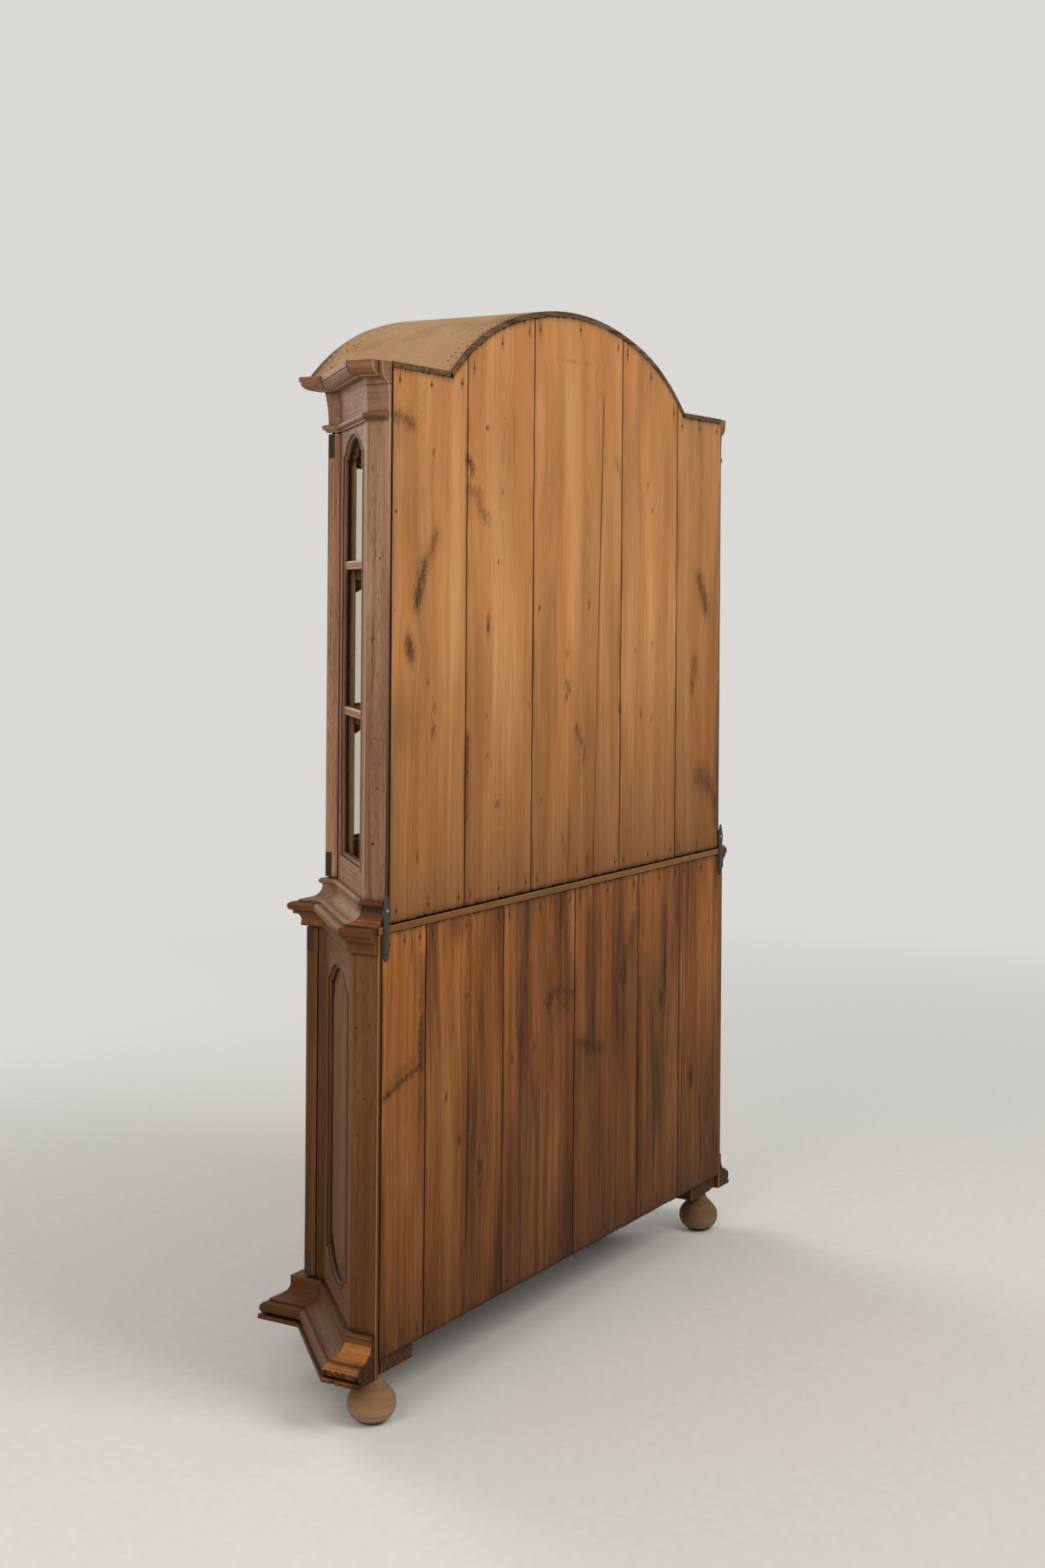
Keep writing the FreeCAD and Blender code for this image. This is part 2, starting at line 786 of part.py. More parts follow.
def make_boards_across():
    """Floor, lid and shelves of both cases."""
    floor = add_plan_body("lower_bottom_board", inner_outline("lower", lower_inner_depth, ZERO),
                          foot_board_top, size["bottom_thickness"])
    keep(floor, "lower_bottom_board")
    floor = add_plan_body("upper_bottom_board", inner_outline("upper", upper_inner_depth, ZERO),
                          lower_top, size["bottom_thickness"])
    keep(floor, "upper_bottom_board")
    right = [(size["lower_half_width"], ZERO),
             (size["lower_half_width"], size["lower_side_depth"]),
             (size["lower_return_x"], lower_cant_end),
             (size["lower_return_x"], lower_carcass_front)]
    left = [(-x, depth) for x, depth in reversed(right)]
    keep(add_plan_body("waist_board", right + left, lower_back_top,
                       size["waist_board_thickness"]), "waist_board")
    for name, case, front in (("lower_shelf", "lower", lower_cant_end),
                              ("first_bar", "upper", upper_cant_end),
                              ("second_bar", "upper", upper_cant_end)):
        label = {"first_bar": "upper_shelf_low", "second_bar": "upper_shelf_high"}.get(name, name)
        outline = inner_outline(case, front - size["shelf_setback"], size["shelf_play"])
        low = size[name + "_level"] - size["shelf_thickness"] / 2
        keep(add_plan_body(label, outline, low, size["shelf_thickness"]), label)


def cant_placement(case):
    """The frame of a right-hand canted side: X towards the rear post, Y inwards."""
    cant_end = {"upper": upper_cant_end, "lower": lower_cant_end}[case]
    corner = vector(length(case + "_return_x"), number(y_at(cant_end)), 0)
    return FreeCAD.Placement(corner, FreeCAD.Rotation(vector(0, 0, 1), CANT_ANGLE))


def cant_width(case):
    return length(case + "_cant_run") * ROOT_TWO


def head_face(x_low, x_high, low, shoulder, arched_foot, inset):
    """A flat opening with a shouldered arch on top, and under it too where asked."""
    left = x_low + inset
    right = x_high - inset
    top = shoulder - inset
    step = length("shoulder_step")
    rise = length("head_rise")
    middle = (left + right) / 2
    foot = low + inset
    edges = [Part.makeLine(vector(right, 0, foot), vector(right, 0, top)),
             Part.makeLine(vector(right, 0, top), vector(right - step, 0, top)),
             Part.Arc(vector(right - step, 0, top), vector(middle, 0, top + rise),
                      vector(left + step, 0, top)).toShape(),
             Part.makeLine(vector(left + step, 0, top), vector(left, 0, top)),
             Part.makeLine(vector(left, 0, top), vector(left, 0, foot))]
    if arched_foot:
        edges += [Part.makeLine(vector(left, 0, foot), vector(left + step, 0, foot)),
                  Part.Arc(vector(left + step, 0, foot), vector(middle, 0, foot - rise),
                           vector(right - step, 0, foot)).toShape(),
                  Part.makeLine(vector(right - step, 0, foot), vector(right, 0, foot))]
    else:
        edges.append(Part.makeLine(vector(left, 0, foot), vector(right, 0, foot)))
    return Part.Face(Part.Wire(edges))


def slab(face, start, thickness):
    """A flat face moved to start along Y and thickened inwards."""
    shape = face.extrude(vector(0, thickness, 0))
    shape.translate(vector(0, start, 0))
    return shape


def fielded_panel(x_low, x_high, low, shoulder, start):
    """A panel with a raised and bevelled field on its outer side."""
    plate = slab(head_face(x_low, x_high, low, shoulder, True, 0), start, length("panel_thickness"))
    margin = length("field_margin")
    rim = head_face(x_low, x_high, low, shoulder, True, margin).OuterWire
    top = head_face(x_low, x_high, low, shoulder, True, margin + length("field_bevel")).OuterWire
    rim.translate(vector(0, start, 0))
    top.translate(vector(0, start - length("field_rise"), 0))
    return plate.fuse(Part.makeLoft([rim, top], True, True)).removeSplitter()


def cant_frame_shapes(case, z_low, z_high, low, shoulder, arched_foot):
    """Two stiles and two rails of a canted side, in the cant's own frame."""
    width = cant_width(case)
    thickness = length("cant_thickness")
    stile = length("cant_stile_width")
    lean = thickness * TAN_MITRE
    height = z_high - z_low
    front = [(0, 0), (stile, 0), (stile, thickness), (-lean, thickness)]
    rear = [(width - stile, 0), (width, 0), (width - lean, thickness),
            (width - stile, thickness)]
    shapes = []
    for outline in (front, rear):
        points = [vector(x, y, z_low) for x, y in outline]
        face = Part.Face(Part.makePolygon(points + points[:1]))
        shapes.append(face.extrude(vector(0, 0, height)))
    block = Part.makeBox(width - 2 * stile, thickness, height, vector(stile, 0, z_low))
    opening = head_face(stile, width - stile, low, shoulder, arched_foot, 0)
    rails = block.cut(slab(opening, -thickness, 3 * thickness))
    return shapes + rails.Solids


def bar_shapes(x_low, x_high, start, bar_depth):
    """Two glazing bars across an opening."""
    half = length("bar_height") / 2
    return [Part.makeBox(x_high - x_low, bar_depth, 2 * half,
                         vector(x_low, start, length(name) - half))
            for name in ("first_bar_level", "second_bar_level")]


def in_place(shapes, placement):
    compound = Part.makeCompound(shapes)
    compound.transformShape(placement.Matrix, True)
    return compound


def make_canted_sides():
    width = cant_width("upper")
    stile = length("cant_stile_width")
    frame = cant_frame_shapes("upper", number(lower_top), number(shoulder_low),
                              length("upper_opening_low"), length("upper_opening_shoulder"), False)
    bars = bar_shapes(stile, width - stile, length("glass_inset") - length("bar_depth") / 2,
                      length("bar_depth"))
    shape = in_place(frame + bars, cant_placement("upper"))
    keep_pair(add_shape("upper_cant_frame", shape), "upper_cant_frame")
    opening = head_face(stile, width - stile, length("upper_opening_low"),
                        length("upper_opening_shoulder"), False, 0)
    glass = slab(opening, length("glass_inset"), length("glass_thickness"))
    for bar in bars:
        glass = glass.cut(bar)
    panes = add_shape("upper_cant_pane", in_place(glass.Solids, cant_placement("upper")))
    keep_twins(panes, "upper_cant_panes")
    width = cant_width("lower")
    frame = cant_frame_shapes("lower", number(size["foot_height"]), number(lower_back_top),
                              length("lower_opening_low"), length("lower_opening_shoulder"), True)
    keep_pair(add_shape("lower_cant_frame", in_place(frame, cant_placement("lower"))),
              "lower_cant_frame")
    panel = fielded_panel(stile, width - stile, length("lower_opening_low"),
                          length("lower_opening_shoulder"), length("panel_inset"))
    panel = add_shape("lower_cant_panel", in_place([panel], cant_placement("lower")))
    keep_twins(panel, "lower_cant_panels")


def make_cleats():
    """Short battens under the shelves, on the rear posts and on the canted frames."""
    cleat = length("cleat_size")
    shapes = []
    for case, name in (("lower", "lower_shelf_level"), ("upper", "first_bar_level"),
                       ("upper", "second_bar_level")):
        top = length(name) - length("shelf_thickness") / 2
        inner = length(case + "_half_width") - length("post_width")
        rear = length("back_board_thickness")
        shapes.append(box_shape(inner - cleat, inner, rear, rear + cleat, top - cleat, top))
        front = Part.makeBox(length("cleat_length"), cleat, cleat,
                             vector(length("cant_stile_width") - cleat / 2,
                                    length("cant_thickness"), top - cleat))
        shapes.append(in_place([front], cant_placement(case)).Solids[0])
    keep_twins(add_shape("shelf_cleat", Part.makeCompound(shapes)), "shelf_cleats")


def pin_hole(x, depth, z_low, z_high):
    """Room for a door's pivot pin."""
    radius = length("pin_radius") + length("pin_play")
    spot = vector(x, number(y_at(depth)), z_low)
    return Part.makeCylinder(radius, z_high - z_low, spot)


upper_pin_x = number(size["upper_return_x"] - size["pivot_inset"])
lower_pin_x = number(size["lower_return_x"] - size["pivot_inset"])
upper_pin_depth = number(upper_front - size["pivot_inset"])
lower_pin_depth = number(lower_front - size["pivot_inset"])
hole_depth = length("pin_length") - length("door_head_play") + length("pin_end_play")


def with_pin_holes(shape, x, depth, z_low, z_high):
    for side in (x, -x):
        shape = shape.cut(pin_hole(side, depth, z_low, z_high))
    return shape


def front_sill():
    """The sill under the upper doors."""
    x = number(size["upper_return_x"])
    leg = number(size["upper_return_x"] - size["upper_leg_width"])
    sill = box_shape(-x, x, upper_cant_end, upper_front, lower_top, base_top)
    inner = box_shape(-leg, leg, upper_inner_depth, upper_cant_end, lower_top, base_top)
    sill = sill.fuse(inner).removeSplitter()
    sill = with_pin_holes(sill, upper_pin_x, upper_pin_depth,
                          number(base_top) - hole_depth, number(base_top))
    return sill


# Mouldings around the cases

def plinth_profile():
    low = length("foot_height")
    base = length("plinth_base_out")
    roll = length("plinth_roll_radius")
    groove = base - roll - length("plinth_groove")
    roll_low = low + length("plinth_base_height")
    top = low + length("plinth_height")
    fillet_low = top - length("plinth_fillet_height")
    cove_low = fillet_low - length("plinth_cove_height")
    return [(0, low), (base, low), (base, roll_low), (groove, roll_low, ROUND_OUT_SHARE),
            (groove, roll_low + 2 * roll), (length("plinth_cove_out"), roll_low + 2 * roll),
            (length("plinth_cove_out"), cove_low, PLINTH_COVE_SHARE),
            (length("plinth_fillet_out"), fillet_low), (length("plinth_fillet_out"), top),
            (0, top)]


def waist_profile():
    low = number(waist_low)
    out = length("waist_bottom_out")
    step = length("waist_step_out")
    neck = step + length("waist_roll_out")
    roll = length("waist_roll_radius")
    cove_low = low + length("waist_fillet_height")
    cove_top = cove_low + length("waist_cove_height")
    top = number(lower_top)
    roll_low = top - 2 * roll - length("waist_top_fillet")
    return [(0, low), (out, low), (out, cove_low, WAIST_COVE_SHARE), (step, cove_top),
            (neck, cove_top), (neck, roll_low, ROUND_OUT_SHARE), (neck, roll_low + 2 * roll),
            (step, top), (0, top)]


def base_profile():
    low = number(lower_top)
    shelf = low + length("base_shelf_height")
    top = number(base_top)
    bead_low = top - 2 * length("bead_radius")
    neck = length("base_neck_out")
    scotia_top = top - 2 * length("bead_radius") - length("base_neck_height") / 2
    return [(0, low), (length("base_shelf_out"), low), (length("base_shelf_out"), shelf),
            (length("base_scotia_out"), shelf + length("base_shelf_height") / 2, SCOTIA_SHARE),
            (neck, scotia_top), (neck, bead_low, ROUND_OUT_SHARE), (neck, top), (0, top)]


def astragal_profile(low):
    out = length("astragal_fillet")
    bead_low = low + length("astragal_fillet")
    return [(0, low), (out, low), (out, bead_low, ROUND_OUT_SHARE),
            (out, bead_low + 2 * length("astragal_radius")),
            (0, bead_low + 2 * length("astragal_radius"))]


def cornice_profile(top):
    low = top - length("cornice_height")
    foot = length("cornice_foot_out")
    out = length("cornice_out")
    groove = length("cornice_groove")
    fascia_low = top - length("cornice_fascia")
    return [(0, low), (foot, low), (foot, low + groove, OVOLO_SHARE),
            (out - groove, fascia_low - groove), (out - 2 * groove, fascia_low - groove),
            (out - 2 * groove, fascia_low), (out, fascia_low), (out, top), (0, top)]


def make_plinth():
    outline = plan_outline("lower", plinth_front)
    sides = side_runs(plinth_profile(), outline, None)
    keep_twins(add_shape("plinth_side", Part.makeCompound(sides)), "plinth_sides")
    x = number(size["lower_return_x"])
    board = box_shape(-x, x, lower_carcass_front, plinth_front, size["foot_height"], plinth_top)
    board = with_pin_holes(board, lower_pin_x, lower_pin_depth,
                           number(plinth_top) - hole_depth, number(plinth_top))
    front = [board, front_run(plinth_profile(), outline)]
    keep(add_shape("plinth_front", Part.makeCompound(front)), "plinth_front")


def make_waist():
    outline = plan_outline("lower", lower_front)
    sides = side_runs(waist_profile(), outline, None)
    keep_twins(add_shape("waist_side", Part.makeCompound(sides)), "waist_sides")
    x = number(size["lower_return_x"])
    board = box_shape(-x, x, lower_carcass_front, lower_front, waist_low, lower_top)
    board = with_pin_holes(board, lower_pin_x, lower_pin_depth, number(waist_low),
                           number(waist_low) + hole_depth)
    front = [board, front_run(waist_profile(), outline)]
    keep(add_shape("waist_front", Part.makeCompound(front)), "waist_front")
    outline = plan_outline("upper", upper_front)
    runs = side_runs(base_profile(), outline, None)
    keep_twins(add_shape("base_side", Part.makeCompound(runs)), "upper_base_sides")
    front = [front_sill(), front_run(base_profile(), outline)]
    keep(add_shape("upper_base_front", Part.makeCompound(front)), "upper_base_front")


def make_entablature():
    """Cornice and astragal on the sides, and the arched frieze with its mouldings in front."""
    outline = plan_outline("upper", upper_front)
    end = ((length("upper_half_width"), length("back_inset") + length("ear_depth")), (1.0, 0.0))
    spring = number(door_arch_half_span)
    return_x = length("upper_return_x")
    low = number(entablature_low)
    runs = side_runs(cornice_profile(number(shoulder_top)), [end] + outline[1:], return_x)
    runs += side_runs(astragal_profile(low), outline, spring)
    keep_twins(add_shape("cornice_side", Part.makeCompound(runs)), "side_cornices")
    board = box_shape(-return_x, return_x, upper_cant_end, upper_front, low, shoulder_low)
    board = board.fuse(roof_space(length("roof_thickness"), low, upper_cant_end, upper_front))
    board = board.cut(door_space(0, low - length("cut_overrun"),
                                 upper_cant_end - size["cut_overrun"],
                                 upper_front + size["cut_overrun"]))
    board = with_pin_holes(board.removeSplitter(), upper_pin_x, upper_pin_depth, low,
                           low + hole_depth)
    keep(add_shape("arched_frieze", board), "arched_frieze")
    edges = arch_edges(spring, number(door_arch_rise), low, 0)
    bead = swept_arch(astragal_profile(0), edges, upper_front, spring)
    keep(add_shape("arched_astragal", bead), "arched_astragal")
    edges = arch_edges(length("arch_half_span"), length("arch_rise"), number(shoulder_top), 0)
    sheet_edge = length("roof_overhang")
    nose = sheet_edge + length("cornice_nosing")
    lid = -length("roof_thickness")
    profile = [(0, lid), (0, -length("cornice_height")),
               (length("cornice_foot_out"), -length("cornice_height"), OVOLO_SHARE),
               (length("cornice_out"), -length("cornice_fascia")),
               (nose, -length("cornice_fascia")), (nose, 0), (sheet_edge, 0),
               (sheet_edge, lid)]
    arch = swept_arch(profile, edges, upper_front, return_x)
    keep(add_shape("arched_cornice", arch), "arched_cornice")


# Roof and back

def arch_ring(lowering, thickness, depth_low, depth_high):
    """A strip along the roof's arch, from lowering down by thickness."""
    args = (length("arch_half_span"), length("arch_rise"), number(shoulder_top))
    outer = arch_edges(*args, lowering)
    inner = arch_edges(*args, lowering + thickness)
    first = Part.makeLine(outer[0].Vertexes[0].Point, inner[0].Vertexes[0].Point)
    last = Part.makeLine(outer[2].Vertexes[1].Point, inner[2].Vertexes[1].Point)
    face = Part.Face(Part.Wire(Part.__sortEdges__(outer + [last] + inner + [first])))
    face.translate(vector(0, number(y_at(depth_low)), 0))
    return face.extrude(vector(0, number(depth_low) - number(depth_high), 0))


def make_roof():
    sheet = arch_ring(0, length("roof_thickness"), ZERO, size["roof_depth"])
    keep(add_shape("roof_sheet", sheet), "roof_sheet")
    inner = size["upper_return_x"]
    outer = size["upper_board_half_width"] + size["rabbet_play"]
    reach = size["upper_half_width"] + size["upper_side_depth"]
    shoulder = add_plan_body("shoulder_board",
                             [(inner, ZERO), (outer, ZERO), (outer, reach - outer),
                              (inner, upper_cant_end)],
                             shoulder_low, size["roof_thickness"])
    keep_twins(shoulder, "shoulder_boards")
    rear = length("back_board_thickness")
    plate_high = number(size["upper_return_x"] + size["plate_overhang"])
    plate_low = plate_high - length("plate_width")
    clear = length("upper_half_width") + length("upper_side_depth") - plate_high
    plate_end = clear - length("cant_thickness") * ROOT_TWO - length("cut_overrun")
    top = number(shoulder_low)
    plates = [box_shape(low, high, rear, plate_end, top - length("plate_height"), top)
              for low, high in ((plate_low, plate_high), (-plate_high, -plate_low))]
    shapes = list(plates)
    middle = (length("roof_depth") - length("former_thickness")) / 2
    for start in (rear, middle):
        rib = arch_ring(length("roof_thickness"), length("former_depth"), start,
                        start + length("former_thickness"))
        for plate in plates:
            rib = rib.cut(plate)
        shapes += rib.Solids
    keep(add_shape("roof_formers", Part.makeCompound(shapes)), "roof_formers")


def board_edges(half_width, shares):
    """Limits of the boards from the right to the left."""
    places = [half_width] + [half_width * share for share in shares] + [-half_width]
    return list(zip(places[:-1], places[1:]))


def back_board_spans(case, shares):
    """Each board's left and right limit with half a joint taken off inside."""
    half = size[case + "_board_half_width"]
    joint = size["board_joint"] / 2
    spans = []
    for right, left in board_edges(half, shares):
        high = right if right is half else right - joint
        low = left if left.value == -half.value else left + joint
        spans.append((low, high))
    return spans


def make_back():
    """Pine boards nailed to the rear, upright, in both cases."""
    start = lower_top + size["upper_board_start"]
    half = length("upper_board_half_width")
    under_roof = roof_space(length("roof_thickness"), start, ZERO, size["back_board_thickness"])
    under_shoulder = box_shape(-half, half, ZERO, size["back_board_thickness"], start,
                               shoulder_low)
    wall = add_shape("back_wall", under_shoulder.fuse(under_roof).removeSplitter())
    names = ("first", "second", "third", "fourth", "fifth", "sixth")
    for name, (low, high) in zip(names, back_board_spans("upper", UPPER_JOINT_SHARES)):
        plank = add_box("upper_plank_" + name, low, ZERO, start, high - low,
                        size["back_board_thickness"], roof_crown - start)
        keep(add_common("upper_back_board_" + name, plank, wall), "upper_back_board_" + name)
    start = foot_board_top
    for name, (low, high) in zip(names, back_board_spans("lower", LOWER_JOINT_SHARES)):
        keep(add_box("lower_back_board_" + name, low, ZERO, start, high - low,
                     size["back_board_thickness"], lower_back_top - start),
             "lower_back_board_" + name)


def arch_level(x):
    """The height of the boards' upper edge at a place x."""
    probe = Part.makeLine(vector(x, 0, 0), vector(x, 0, 2 * number(roof_crown)))
    edges = arch_edges(length("arch_half_span"), length("arch_rise"), number(shoulder_top),
                       length("roof_thickness"))
    found = [edge.distToShape(probe) for edge in edges]
    nearest = min(found, key=lambda item: item[0])
    inside = abs(x) < edges[0].Vertexes[0].Point.x
    return nearest[1][0][0].z if inside else number(shoulder_low)


def make_nails():
    """Heads of the nails along the ends of the back boards, and the screws of the straps."""
    margin = length("nail_margin")
    spots = []
    for low, high in back_board_spans("upper", UPPER_JOINT_SHARES):
        for x in (low.value + margin, (low.value + high.value) / 2, high.value - margin):
            spots.append((x, number(lower_top) + length("upper_board_start") + margin))
            level = min(arch_level(x - margin), arch_level(x + margin))
            spots.append((x, level - margin))
    for low, high in back_board_spans("lower", LOWER_JOINT_SHARES):
        for x in (low.value + margin, (low.value + high.value) / 2, high.value - margin):
            spots.append((x, number(foot_board_top) + margin))
            spots.append((x, number(lower_back_top) - margin))
    rear = vector(0, 1, 0)
    y = number(back_y)
    heads = [Part.makeCylinder(length("nail_radius"), length("nail_rise"), vector(x, y, z), rear)
             for x, z in spots]
    face = y + length("strap_thickness")
    low = number(lower_top) - length("strap_below") + length("strap_width")
    high = number(lower_top) + length("strap_bulge")
    for x in (number(strap_centre_x), -number(strap_centre_x)):
        for z in (low, high):
            heads.append(Part.makeCylinder(length("screw_radius"), length("screw_rise"),
                                           vector(x, face, z), rear))
    keep(add_shape("nails_and_screws", Part.makeCompound(heads)), "nails_and_screws")


def make_straps():
    """Iron straps that tie the upper case to the lower one at the rear corners."""
    x = strap_centre_x
    half = size["strap_width"] / 2
    bulge = size["strap_bulge_width"] / 2
    tip = size["strap_tip_width"] / 2
    low = lower_top - size["strap_below"]
    outline = [(x - half, low + half), (x + half, low + half),
               (x + half, lower_top + size["strap_neck"]),
               (x + bulge, lower_top + size["strap_bulge"]),
               (x + tip, lower_top + size["strap_above"]),
               (x - tip, lower_top + size["strap_above"]),
               (x - bulge, lower_top + size["strap_bulge"]),
               (x - half, lower_top + size["strap_neck"])]
    strap = add_rear_body("tie_strap", outline, {0: (half * STRAP_END_SHARE, 1)},
                          -size["strap_thickness"], size["strap_thickness"])
    keep_twins(strap, "tie_straps")


# Doors

def pivot_iron(edge_x, pin_x, pin_depth, end_level, upwards):
    """An angle of iron let into a door's corner, and the pin that stands on it."""
    half = length("pivot_plate_width") / 2
    thickness = length("pivot_plate_thickness")
    height = length("pivot_plate_height")
    low, high = (end_level - height, end_level) if upwards else (end_level, end_level + height)
    plate = box_shape(edge_x - thickness, edge_x, pin_depth - half, pin_depth + half, low, high)
    low, high = ((end_level - thickness, end_level) if upwards
                 else (end_level, end_level + thickness))
    leaf = box_shape(edge_x - length("pivot_leaf_length"), edge_x, pin_depth - half,
                     pin_depth + half, low, high)
    start = end_level if upwards else end_level - length("pin_length")
    pin = Part.makeCylinder(length("pin_radius"), length("pin_length"),
                            vector(pin_x, number(y_at(pin_depth)), start))
    return plate.fuse(leaf).removeSplitter(), pin


def cover_strip(front, z_low, z_high):
    """A rounded strip on the edge of a meeting stile."""
    low = length("meeting_gap") / 2
    width = length("cover_strip_width")
    y = number(y_at(front))
    points = [vector(low, y, z_low), vector(low + width / 2, y - length("cover_strip_rise"), z_low),
              vector(low + width, y, z_low)]
    edges = [Part.Arc(*points).toShape(), Part.makeLine(points[2], points[0])]
    return Part.Face(Part.Wire(edges)).extrude(vector(0, 0, z_high - z_low))


def catch_shapes(rear, front, level):
    """A turn catch: knob, spindle and tongue in one piece, and its rose."""
    x = (length("meeting_gap") + length("meeting_stile_width")) / 2
    forward = vector(0, -1, 0)
    tongue_front = rear - length("catch_tongue_gap")
    tongue_rear = tongue_front - length("catch_tongue_thickness")
    half = length("catch_tongue_width") / 2
    tongue = box_shape(x - half, x + half, tongue_rear, tongue_front,
                       level + half - length("catch_tongue_length"), level + half)
    knob_start = front + length("rose_thickness") + length("catch_tongue_gap")
    start = vector(x, number(back_y) - tongue_rear, level)
    reach = knob_start + length("knob_length") / 2 - tongue_rear
    spindle = Part.makeCylinder(length("catch_spindle_radius"), reach, start, forward)
    radius = length("knob_radius")
    neck = Part.makeCone(radius / 2, radius * KNOB_NECK_SHARE, length("knob_length") - radius,
                         vector(x, number(back_y) - knob_start, level), forward)
    ball_depth = knob_start + length("knob_length") - radius
    ball = Part.makeSphere(radius, vector(x, number(back_y) - ball_depth, level))
    front_half = box_shape(x - 2 * radius, x + 2 * radius, knob_start + radius * KNOB_FLAT_SHARE,
                           knob_start + 4 * radius, level - 2 * radius, level + 2 * radius)
    knob = neck.fuse(ball.common(front_half))
    catch = tongue.fuse(spindle).fuse(knob).removeSplitter()
    bore = Part.makeCylinder(length("catch_spindle_radius") + length("catch_play"),
                             front - rear + 2 * length("knob_length"),
                             vector(x, number(back_y) - rear + length("knob_length"), level),
                             forward)
    rose = Part.makeCylinder(length("rose_radius"), length("rose_thickness"),
                             vector(x, number(back_y) - front, level), forward).cut(bore)
    return catch, bore, rose


def mirrored(shape):
    return shape.mirror(vector(0, 0, 0), vector(1, 0, 0))


def keep_door(case, frame, infill, irons, catch, bore, rose, infill_name):
    """Both doors of a case. Only the right one holds the turn catch."""
    bored = [piece.cut(bore) for piece in frame]
    for side, pieces, extra in (("right", bored, [rose]), ("left", frame, [])):
        sets = {"frame": pieces, infill_name: infill, "irons": irons + extra}
        for part_name, shapes in sets.items():
            label = case + "_door_" + part_name + "_" + side
            if side == "left":
                shapes = [mirrored(shape) for shape in shapes]
            keep(add_shape(label, Part.makeCompound(shapes)), label)
    keep(add_shape(case + "_turn_catch", catch), case + "_turn_catch")


def make_upper_doors():
    rear = number(upper_cant_end + size["door_gap"])
    front = number(upper_front)
    edge = length("upper_return_x")
    inner = length("meeting_gap") / 2
    play = length("door_head_play")
    low = number(base_top) + play
    shoulder = number(entablature_low) - play
    hinge_x = edge - length("hinge_stile_width")
    meeting_x = inner + length("meeting_stile_width")
    crown = number(entablature_low + door_arch_rise)
    whole = box_shape(inner, edge, rear, front, low, crown)
    arch = door_space(play, low, rear, front).common(whole)
    blank = box_shape(inner, edge, rear, front, low, shoulder).fuse(arch).removeSplitter()
    rail_low = low + length("door_bottom_rail")
    opening_shoulder = shoulder - length("door_top_rail")
    field = box_shape(meeting_x, hinge_x, rear, front, rail_low, crown)
    arch = door_space(play + length("door_top_rail"), rail_low, rear, front).common(field)
    square = box_shape(meeting_x, hinge_x, rear, front, rail_low, opening_shoulder)
    opening = square.fuse(arch).removeSplitter()
    stiles = [blank.common(box_shape(low_x, high_x, rear, front, low, crown))
              for low_x, high_x in ((inner, meeting_x), (hinge_x, edge))]
    rails = blank.common(box_shape(meeting_x, hinge_x, rear, front, low, crown)).cut(opening)
    half = length("bar_height") / 2
    drop = length("head_rise") + length("bar_height") / 3
    bars = []
    for name in ("first_bar_level", "second_bar_level"):
        level = length(name)
        block = box_shape(meeting_x, hinge_x, rear + length("bar_recess"),
                          front - length("bar_recess"), level - half - drop, level + half)
        head = head_face(meeting_x, hinge_x, rail_low, level - half - drop, False, 0)
        bars.append(block.cut(slab(head, -length("lower_half_width"),
                                   2 * length("lower_half_width"))))
    middle = (rear + front - length("glass_thickness")) / 2
    layer = box_shape(meeting_x, hinge_x, middle, middle + length("glass_thickness"), rail_low,
                      crown)
    glass = opening.common(layer)
    for bar in bars:
        glass = glass.cut(bar)
    irons, pins = [], []
    for level, upwards in ((shoulder, True), (low, False)):
        iron, pin = pivot_iron(edge, upper_pin_x, upper_pin_depth, level, upwards)
        stiles = [stile.cut(iron) for stile in stiles]
        irons.append(iron.fuse(pin).removeSplitter())
    strip = cover_strip(front, low, crown).common(
        door_space(play, low, front - play, front + 2 * length("cover_strip_rise")))
    catch, bore, rose = catch_shapes(rear, front, number(upper_catch_level))
    frame = stiles + rails.Solids + bars + [strip]
    keep_door("upper", frame, glass.Solids, irons, catch, bore, rose, "panes")


def make_lower_doors():
    rear = number(lower_carcass_front + size["door_gap"])
    front = number(lower_front)
    edge = length("lower_return_x")
    inner = length("meeting_gap") / 2
    play = length("door_head_play")
    low = number(plinth_top) + play
    high = number(waist_low) - play
    hinge_x = edge - length("hinge_stile_width")
    meeting_x = inner + length("meeting_stile_width")
    rail = length("lower_door_rail")
    rise = length("head_rise")
    stiles = [box_shape(inner, meeting_x, rear, front, low, high),
              box_shape(hinge_x, edge, rear, front, low, high)]
    block = box_shape(meeting_x, hinge_x, rear, front, low, high)
    y = number(y_at(front))
    opening = head_face(meeting_x, hinge_x, low + rail + rise, high - rail - rise, True, 0)
    rails = block.cut(slab(opening, y - rail, 3 * rail))
    panel = fielded_panel(meeting_x, hinge_x, low + rail + rise, high - rail - rise,
                          y + length("panel_inset"))
    irons = []
    for level, upwards in ((high, True), (low, False)):
        iron, pin = pivot_iron(edge, lower_pin_x, lower_pin_depth, level, upwards)
        stiles = [stile.cut(iron) for stile in stiles]
        irons.append(iron.fuse(pin).removeSplitter())
    strip = cover_strip(front, low, high)
    catch, bore, rose = catch_shapes(rear, front, number(lower_catch_level))
    frame = stiles + rails.Solids + [strip]
    keep_door("lower", frame, [panel], irons, catch, bore, rose, "panel")


def check_and_write():
    """Stop on any failed object, then write every sub-part to its own file."""
    doc.recompute()
    for item in doc.Objects:
        if "Invalid" in item.State or "Error" in item.State:
            raise RuntimeError(item.Name + " failed: " + str(item.State))
    os.makedirs("parts", exist_ok=True)
    for item in nodes:
        shape = item.Shape
        if shape.isNull() or not shape.isValid() or not shape.Solids:
            raise RuntimeError(item.Label + " has no valid solid")
        shape.exportStep("parts/" + item.Label + ".step")
    print(len(nodes), "sub-parts written")


